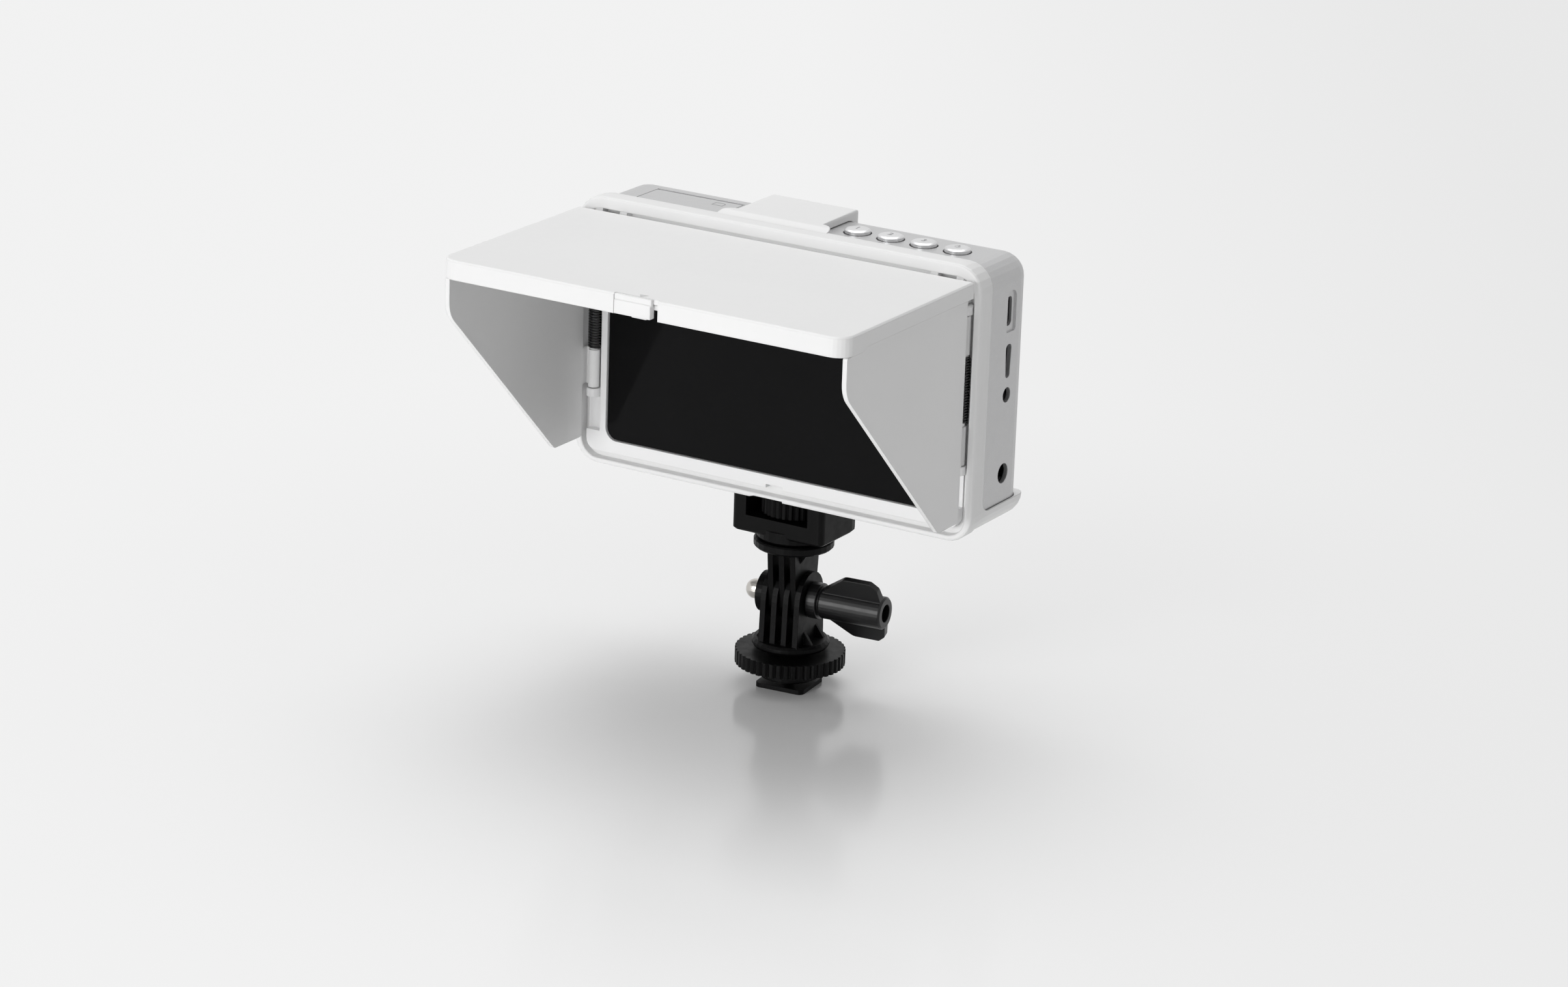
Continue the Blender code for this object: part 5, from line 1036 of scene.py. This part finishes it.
@dataclass
class Latch:
    """The lid's latch: a finger block with a ledge, a plate under the lid and a hook.

    Attributes:
        left: The finger block's left end.
        right: Its right end.
        face: How far its lower face stands behind the lid's front.
        ledge: How far its upper band stands behind the lower face.
        step: How much shorter the lower part is at its right end.
        band: The upper band's height.
        tuck: How far the band reaches down behind the lower part.
        sink: How far its top lies under the lid's.
        height: From the lid's top to the block's bottom.
        depth: From the lid's front to the band's back.
        root: How far the lower part reaches behind the band.
        plate: The plate's thickness.
        clear: The plate's distance from the lid's underside.
        hook_span: The hook's left and right ends.
        hook_reach: The hook's front and back, behind the band's back.
        edge: The rounding of its edges.
        node: The CAD node that it replaces.
    """

    left: float = -9.0 * MM
    right: float = 5.2 * MM
    face: float = 0.02 * MM
    ledge: float = 0.20 * MM
    step: float = 0.3 * MM
    band: float = 1.95 * MM
    tuck: float = 0.5 * MM
    sink: float = 0.08 * MM
    height: float = 6.75 * MM
    depth: float = 1.40 * MM
    root: float = 1.2 * MM
    plate: float = 1.7 * MM
    clear: float = 0.1 * MM
    hook_span: tuple[float, float] = (-4.7 * MM, 0.9 * MM)
    hook_reach: tuple[float, float] = (2.7 * MM, 4.5 * MM)
    edge: float = 0.16 * MM
    node: str = "lid_latch"

    def build(self, wardrobe: Wardrobe) -> bpy.types.Object:
        """Model the latch and dress it.

        Args:
            wardrobe: Gives the finish.

        Returns:
            The new piece.
        """
        lid_low, lid_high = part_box("sun_lid")
        low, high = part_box(self.node)
        top = lid_high.z - self.sink
        bottom = lid_high.z - self.height
        front = lid_low.y + self.face
        back = lid_low.y + self.depth
        neck = top - self.band
        under = high.z - self.clear
        hook_left, hook_right = self.hook_span
        hook_front, hook_back = self.hook_reach
        corners = [
            ((self.left, front, bottom), (self.right - self.step, back + self.root, neck)),
            ((self.left, front + self.ledge, neck - self.tuck), (self.right, back, top)),
            ((low.x, back + MM, under - self.plate), (high.x, high.y, under)),
            ((hook_left, back + hook_front, low.z), (hook_right, back + hook_back, under - MM)),
        ]
        parts = [self.slab(*pair) for pair in corners]
        clear_selection()
        for part in parts:
            part.select_set(True)
        bpy.context.view_layer.objects.active = parts[0]
        bpy.ops.object.join()
        latch = settle(bpy.context.object, self.node + "_slider")
        wardrobe.dress(latch, Look.HOOD)
        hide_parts(self.node)
        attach(latch, "latch")
        return latch

    def slab(self, low: tuple, high: tuple) -> bpy.types.Object:
        """A block between two corners, its edges rounded.

        Args:
            low: The lowest corner.
            high: The highest corner.

        Returns:
            The block.
        """
        clear_selection()
        middle = (Vector(low) + Vector(high)) / 2
        bpy.ops.mesh.primitive_cube_add(size=1.0, location=middle)
        block = bpy.context.object
        block.scale = Vector(high) - Vector(low)
        bpy.ops.object.transform_apply(location=False, rotation=False, scale=True)
        apply_modifier(block, "BEVEL", width=self.edge, segments=3)
        return block


@dataclass
class LeftFlap:
    """The left flap, with its hinge barrel standing clear of the web that holds it.

    Attributes:
        reach: The barrel's radius.
        arc: Where round the barrel the groove starts and ends, and its step, in degrees.
        gap: From the barrel's axis to the plate's inner face.
        front: How far before the axis the groove is cut.
        root: How far before the axis the web joins the plate.
        depth: How far behind the axis the groove ends.
        rear: How far behind the axis the web's rear face lies.
        corner: The cut-off corner of the web's rear edge.
        inner: How far the web reaches towards the axis.
        outer: How far it reaches into the plate, at the corner and beyond it.
        cut: The groove's lowest and highest height.
        barrel: The barrels' lowest and highest height.
        margin: How far the web stops short of a barrel's end.
        node: The CAD node that it replaces.
    """

    reach: float = 2.0 * MM
    arc: tuple[int, int, int] = (154, 283, 8)
    gap: float = 3.7 * MM
    front: float = 6.0 * MM
    root: float = 3.0 * MM
    depth: float = 0.9 * MM
    rear: float = 1.5 * MM
    corner: float = 0.3 * MM
    inner: float = 1.2 * MM
    outer: tuple[float, float] = (0.5 * MM, 0.75 * MM)
    cut: tuple[float, float] = (95.0 * MM, 157.0 * MM)
    barrel: tuple[float, float] = (100.3 * MM, 152.2 * MM)
    margin: float = 0.25 * MM
    node: str = "left_flap"

    def build(self, wardrobe: Wardrobe) -> bpy.types.Object:
        """Model the flap from its CAD form and dress it.

        Args:
            wardrobe: Gives the finish.

        Returns:
            The new piece.
        """
        low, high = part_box(self.node + "_pin")
        axis = Vector(((low.x + high.x) / 2, (low.y + high.y) / 2))
        flap = copy_node(self.node)
        carve(flap, outline_solid(self.groove(axis), *self.cut), "DIFFERENCE")
        for bottom, top in self.stretches():
            carve(flap, outline_solid(self.web(axis), bottom, top), "UNION")
        settle(flap, self.node + "_moulding")
        wardrobe.dress(flap, Look.HOOD)
        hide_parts(self.node)
        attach(flap, self.node)
        return flap

    def groove(self, axis: Vector) -> list[Vector]:
        """The outline of what is cut away between the plate and the barrel.

        Args:
            axis: The hinge's axis, seen from above.

        Returns:
            The outline's points.
        """
        inside = axis.x - self.gap
        turns = [math.radians(step) for step in range(*self.arc)]
        return [
            *(axis + self.reach * Vector((math.cos(turn), math.sin(turn))) for turn in turns),
            Vector((axis.x, axis.y - self.front)),
            Vector((inside, axis.y - self.front)),
            Vector((inside, axis.y + self.depth)),
        ]

    def web(self, axis: Vector) -> list[Vector]:
        """The outline of the web that runs from the plate round to the barrel's back.

        Args:
            axis: The hinge's axis, seen from above.

        Returns:
            The outline's points.
        """
        inside = axis.x - self.gap
        near, far = self.outer
        return [
            Vector((inside, axis.y - self.root)),
            Vector((inside, axis.y + self.depth)),
            Vector((axis.x - self.inner, axis.y + self.depth)),
            Vector((axis.x - self.inner, axis.y + self.rear)),
            Vector((inside - near, axis.y + self.rear)),
            Vector((inside - far, axis.y + self.rear - self.corner)),
            Vector((inside - far, axis.y - self.root)),
        ]

    def stretches(self) -> list[tuple[float, float]]:
        """The heights between which the barrel has its full radius.

        Returns:
            The lower and the upper stretch, a little short of the barrel's ends.
        """
        spring_low, spring_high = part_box(self.node + "_spring")
        bottom, top = self.barrel
        return [
            (bottom + self.margin, spring_low.z - 2 * self.margin),
            (spring_high.z + 2 * self.margin, top - self.margin),
        ]


@dataclass
class ButtonCap:
    """A turned button: a satin dome with a chamfered rim on a flanged stem.

    Attributes:
        radius: The cap's radius.
        flange: The flange's radius, under the shell.
        stem: The stem's radius.
        rim: How high the cap's side stands over the shell.
        skirt: How far its side reaches down into the shell.
        flange_drop: The flange's thickness.
        stem_drop: The stem's length.
        slopes: How far each step of the cap's top goes inwards and up.
        facets: How many sides it has round its axis.
    """

    radius: float = 4.5 * MM
    flange: float = 5.5 * MM
    stem: float = 1.5 * MM
    rim: float = 1.0 * MM
    skirt: float = 2.1 * MM
    flange_drop: float = 0.9 * MM
    stem_drop: float = 3.4 * MM
    slopes: tuple[tuple[float, float], ...] = (
        (0.10 * MM, 0.14 * MM), (0.62 * MM, 0.34 * MM), (0.10 * MM, 0.03 * MM),
        (1.2 * MM, 0.12 * MM), (1.2 * MM, 0.05 * MM), (0.8 * MM, 0.01 * MM),
    )
    facets: int = 72

    def build(self, wardrobe: Wardrobe) -> list[bpy.types.Object]:
        """Model one cap, copy it to the four buttons and dress them.

        Args:
            wardrobe: Gives the finish.

        Returns:
            The four caps.
        """
        shell_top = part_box("rear_shell")[1].z
        first = self.turn_cap()
        caps = []
        for number in range(1, 5):
            low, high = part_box(f"button_{number}")
            cap = first if number == 4 else first.copy()
            if number < 4:
                cap.data = first.data.copy()
                bpy.context.scene.collection.objects.link(cap)
            cap.location = ((low.x + high.x) / 2, (low.y + high.y) / 2, shell_top)
            settle(cap, f"button_cap_{number}")
            wardrobe.dress(cap, Look.BUTTON)
            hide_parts(f"button_{number}")
            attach(cap, f"button_{number}")
            caps.append(cap)
        return caps

    def turn_cap(self) -> bpy.types.Object:
        """Shape one cap round the Z axis, with the shell's top at zero.

        Returns:
            The cap.
        """
        clear_selection()
        bpy.ops.mesh.primitive_cylinder_add(
            vertices=self.facets,
            radius=self.radius,
            depth=self.rim + self.skirt,
            location=(0, 0, (self.rim - self.skirt) / 2),
        )
        cap = bpy.context.object
        bpy.ops.object.transform_apply(location=True, rotation=False, scale=False)
        self.pick_face(cap, 1)
        for inward, upward in self.slopes:
            bpy.ops.mesh.inset(thickness=inward)
            bpy.ops.transform.translate(value=(0, 0, upward))
        self.pick_face(cap, -1)
        steps = (
            (self.flange / self.radius, self.flange_drop),
            (self.stem / self.flange, self.stem_drop),
        )
        for scale, drop in steps:
            bpy.ops.mesh.extrude_region_move(TRANSFORM_OT_translate={"value": (0, 0, 0)})
            bpy.ops.transform.resize(value=(scale, scale, 1), center_override=(0, 0, 0))
            bpy.ops.mesh.extrude_region_move(TRANSFORM_OT_translate={"value": (0, 0, -drop)})
        bpy.ops.object.mode_set(mode="OBJECT")
        return cap

    def pick_face(self, cap: bpy.types.Object, side: int) -> None:
        """Select the cap's top or bottom face alone, in edit mode.

        Args:
            cap: The cap.
            side: 1 for the top face, -1 for the bottom face.
        """
        hold(cap)
        bpy.ops.object.mode_set(mode="EDIT")
        bpy.ops.mesh.select_mode(type="FACE")
        bpy.ops.mesh.select_all(action="DESELECT")
        bpy.ops.object.mode_set(mode="OBJECT")
        ends = [face for face in cap.data.polygons if face.normal.z * side > 0.99]
        chosen = max(ends, key=lambda face: face.center.z * side)
        chosen.select = True
        bpy.ops.object.mode_set(mode="EDIT")


@dataclass
class ButtonMarks:
    """The printed marks on the four buttons: 1, 2, 3 and a power sign.

    Attributes:
        height: The marks' height.
        thick: The ink's thickness, above the button and below its top.
        stroke: The power sign's line, as part of the height.
        ring: The power sign's radius, as part of the height.
        bar: The power sign's bar, as a number of line widths.
        half_gap: Half the opening of its ring, in degrees.
    """

    height: float = 2.6 * MM
    thick: float = 0.03 * MM
    stroke: float = 0.11
    ring: float = 0.42
    bar: float = 4.2
    half_gap: float = 34.0

    def build(self, wardrobe: Wardrobe) -> list[bpy.types.Object]:
        """Model a mark for each button.

        Args:
            wardrobe: Gives the finish.

        Returns:
            The marks.
        """
        marks = []
        for number in range(1, 5):
            low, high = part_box(f"button_{number}")
            top = Vector(((low.x + high.x) / 2, (low.y + high.y) / 2, high.z))
            mark = self.power_sign() if number == 4 else self.numeral(str(number))
            mark.location = top
            settle(mark, f"button_mark_{number}")
            wardrobe.dress(mark, Look.INK)
            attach(mark, f"button_{number}")
            marks.append(mark)
        return marks

    def numeral(self, text: str) -> bpy.types.Object:
        """A numeral as a thin solid, centred on the origin.

        Args:
            text: The numeral.

        Returns:
            The mesh object.
        """
        clear_selection()
        bpy.ops.object.text_add(location=(0, 0, 0))
        item = bpy.context.object
        item.data.body = text
        item.data.size = self.height * 1.35
        item.data.align_x = "CENTER"
        item.data.align_y = "CENTER"
        item.data.extrude = self.thick
        bpy.ops.object.convert(target="MESH")
        return bpy.context.object

    def power_sign(self) -> bpy.types.Object:
        """A broken ring with a short bar at its gap.

        Returns:
            The mesh object.
        """
        line = self.height * self.stroke
        middle = self.height * self.ring
        shrink = (middle - line / 2) / (middle + line / 2)
        clear_selection()
        bpy.ops.mesh.primitive_circle_add(
            vertices=44, radius=middle + line / 2, fill_type="NOTHING"
        )
        item = bpy.context.object
        bpy.ops.object.mode_set(mode="EDIT")
        bpy.ops.mesh.select_all(action="SELECT")
        bpy.ops.mesh.extrude_region_move(TRANSFORM_OT_translate={"value": (0, 0, 0)})
        bpy.ops.transform.resize(value=(shrink, shrink, 1), center_override=(0, 0, 0))
        bpy.ops.mesh.select_mode(type="FACE")
        bpy.ops.mesh.select_all(action="DESELECT")
        bpy.ops.object.mode_set(mode="OBJECT")
        for face in item.data.polygons:
            face.select = face.center.y > middle * math.cos(math.radians(self.half_gap))
        bpy.ops.object.mode_set(mode="EDIT")
        bpy.ops.mesh.delete(type="FACE")
        bpy.ops.mesh.primitive_plane_add(size=1.0, location=(0, middle, 0))
        bpy.ops.transform.resize(value=(line, self.bar * line, 1), center_override=(0, middle, 0))
        bpy.ops.mesh.select_all(action="SELECT")
        bpy.ops.mesh.extrude_region_move(TRANSFORM_OT_translate={"value": (0, 0, 2 * self.thick)})
        bpy.ops.mesh.select_all(action="SELECT")
        bpy.ops.mesh.normals_make_consistent(inside=False)
        bpy.ops.object.mode_set(mode="OBJECT")
        return item


@dataclass
class CardMark:
    """A plain outline of a memory card, printed near the right end of the card cover.

    Attributes:
        size: Its width and depth.
        place: Its middle.
        corner: The length of its cut-off corner's sides.
        line: The line's width.
        thick: The ink's thickness.
    """

    size: tuple[float, float] = (4.4 * MM, 3.3 * MM)
    place: tuple[float, float] = (-36.7 * MM, 3.6 * MM)
    corner: float = 0.9 * MM
    line: float = 0.28 * MM
    thick: float = 0.03 * MM

    def build(self, wardrobe: Wardrobe) -> bpy.types.Object:
        """Model the outline and dress it.

        Args:
            wardrobe: Gives the finish.

        Returns:
            The new piece.
        """
        clear_selection()
        bpy.ops.mesh.primitive_plane_add(size=1.0, location=(0, 0, 0))
        mark = bpy.context.object
        mark.scale = (*self.size, 1.0)
        bpy.ops.object.transform_apply(location=False, rotation=False, scale=True)
        bpy.ops.object.mode_set(mode="EDIT")
        bpy.ops.mesh.select_mode(type="VERT")
        bpy.ops.mesh.select_all(action="DESELECT")
        bpy.ops.object.mode_set(mode="OBJECT")
        for vertex in mark.data.vertices:
            vertex.select = vertex.co.x > 0 and vertex.co.y > 0
        bpy.ops.object.mode_set(mode="EDIT")
        bpy.ops.mesh.bevel(offset=self.corner, affect="VERTICES")
        bpy.ops.mesh.select_mode(type="FACE")
        bpy.ops.mesh.select_all(action="SELECT")
        bpy.ops.mesh.inset(thickness=self.line)
        bpy.ops.mesh.delete(type="FACE")
        bpy.ops.mesh.select_all(action="SELECT")
        bpy.ops.mesh.extrude_region_move(TRANSFORM_OT_translate={"value": (0, 0, self.thick)})
        bpy.ops.mesh.select_all(action="SELECT")
        bpy.ops.mesh.normals_make_consistent(inside=False)
        bpy.ops.object.mode_set(mode="OBJECT")
        mark.location = (*self.place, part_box("card_cover")[1].z)
        settle(mark, "card_mark")
        wardrobe.dress(mark, Look.INK)
        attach(mark, "card_cover")
        return mark


def main() -> None:
    """Dress the CAD model, add the fine pieces and set up the studio."""
    logging.basicConfig(level=logging.INFO, format="%(name)s: %(message)s")
    wardrobe = Wardrobe()
    wardrobe.dress_nodes(FRAME["record"])
    Studio().build()
    LOG.info("studio is set up")
    for side, node in ((-1, "left_flap_spring"), (1, "right_flap_spring")):
        LOG.info("%s modelled", TorsionSpring(side, node).build(wardrobe).name)
    for piece in (LatchArrow(), Latch(), LeftFlap(), CardMark()):
        LOG.info("%s modelled", piece.build(wardrobe).name)
    for cap in ButtonCap().build(wardrobe):
        LOG.info("%s modelled", cap.name)
    for mark in ButtonMarks().build(wardrobe):
        LOG.info("%s modelled", mark.name)


if __name__ == "__main__":
    main()
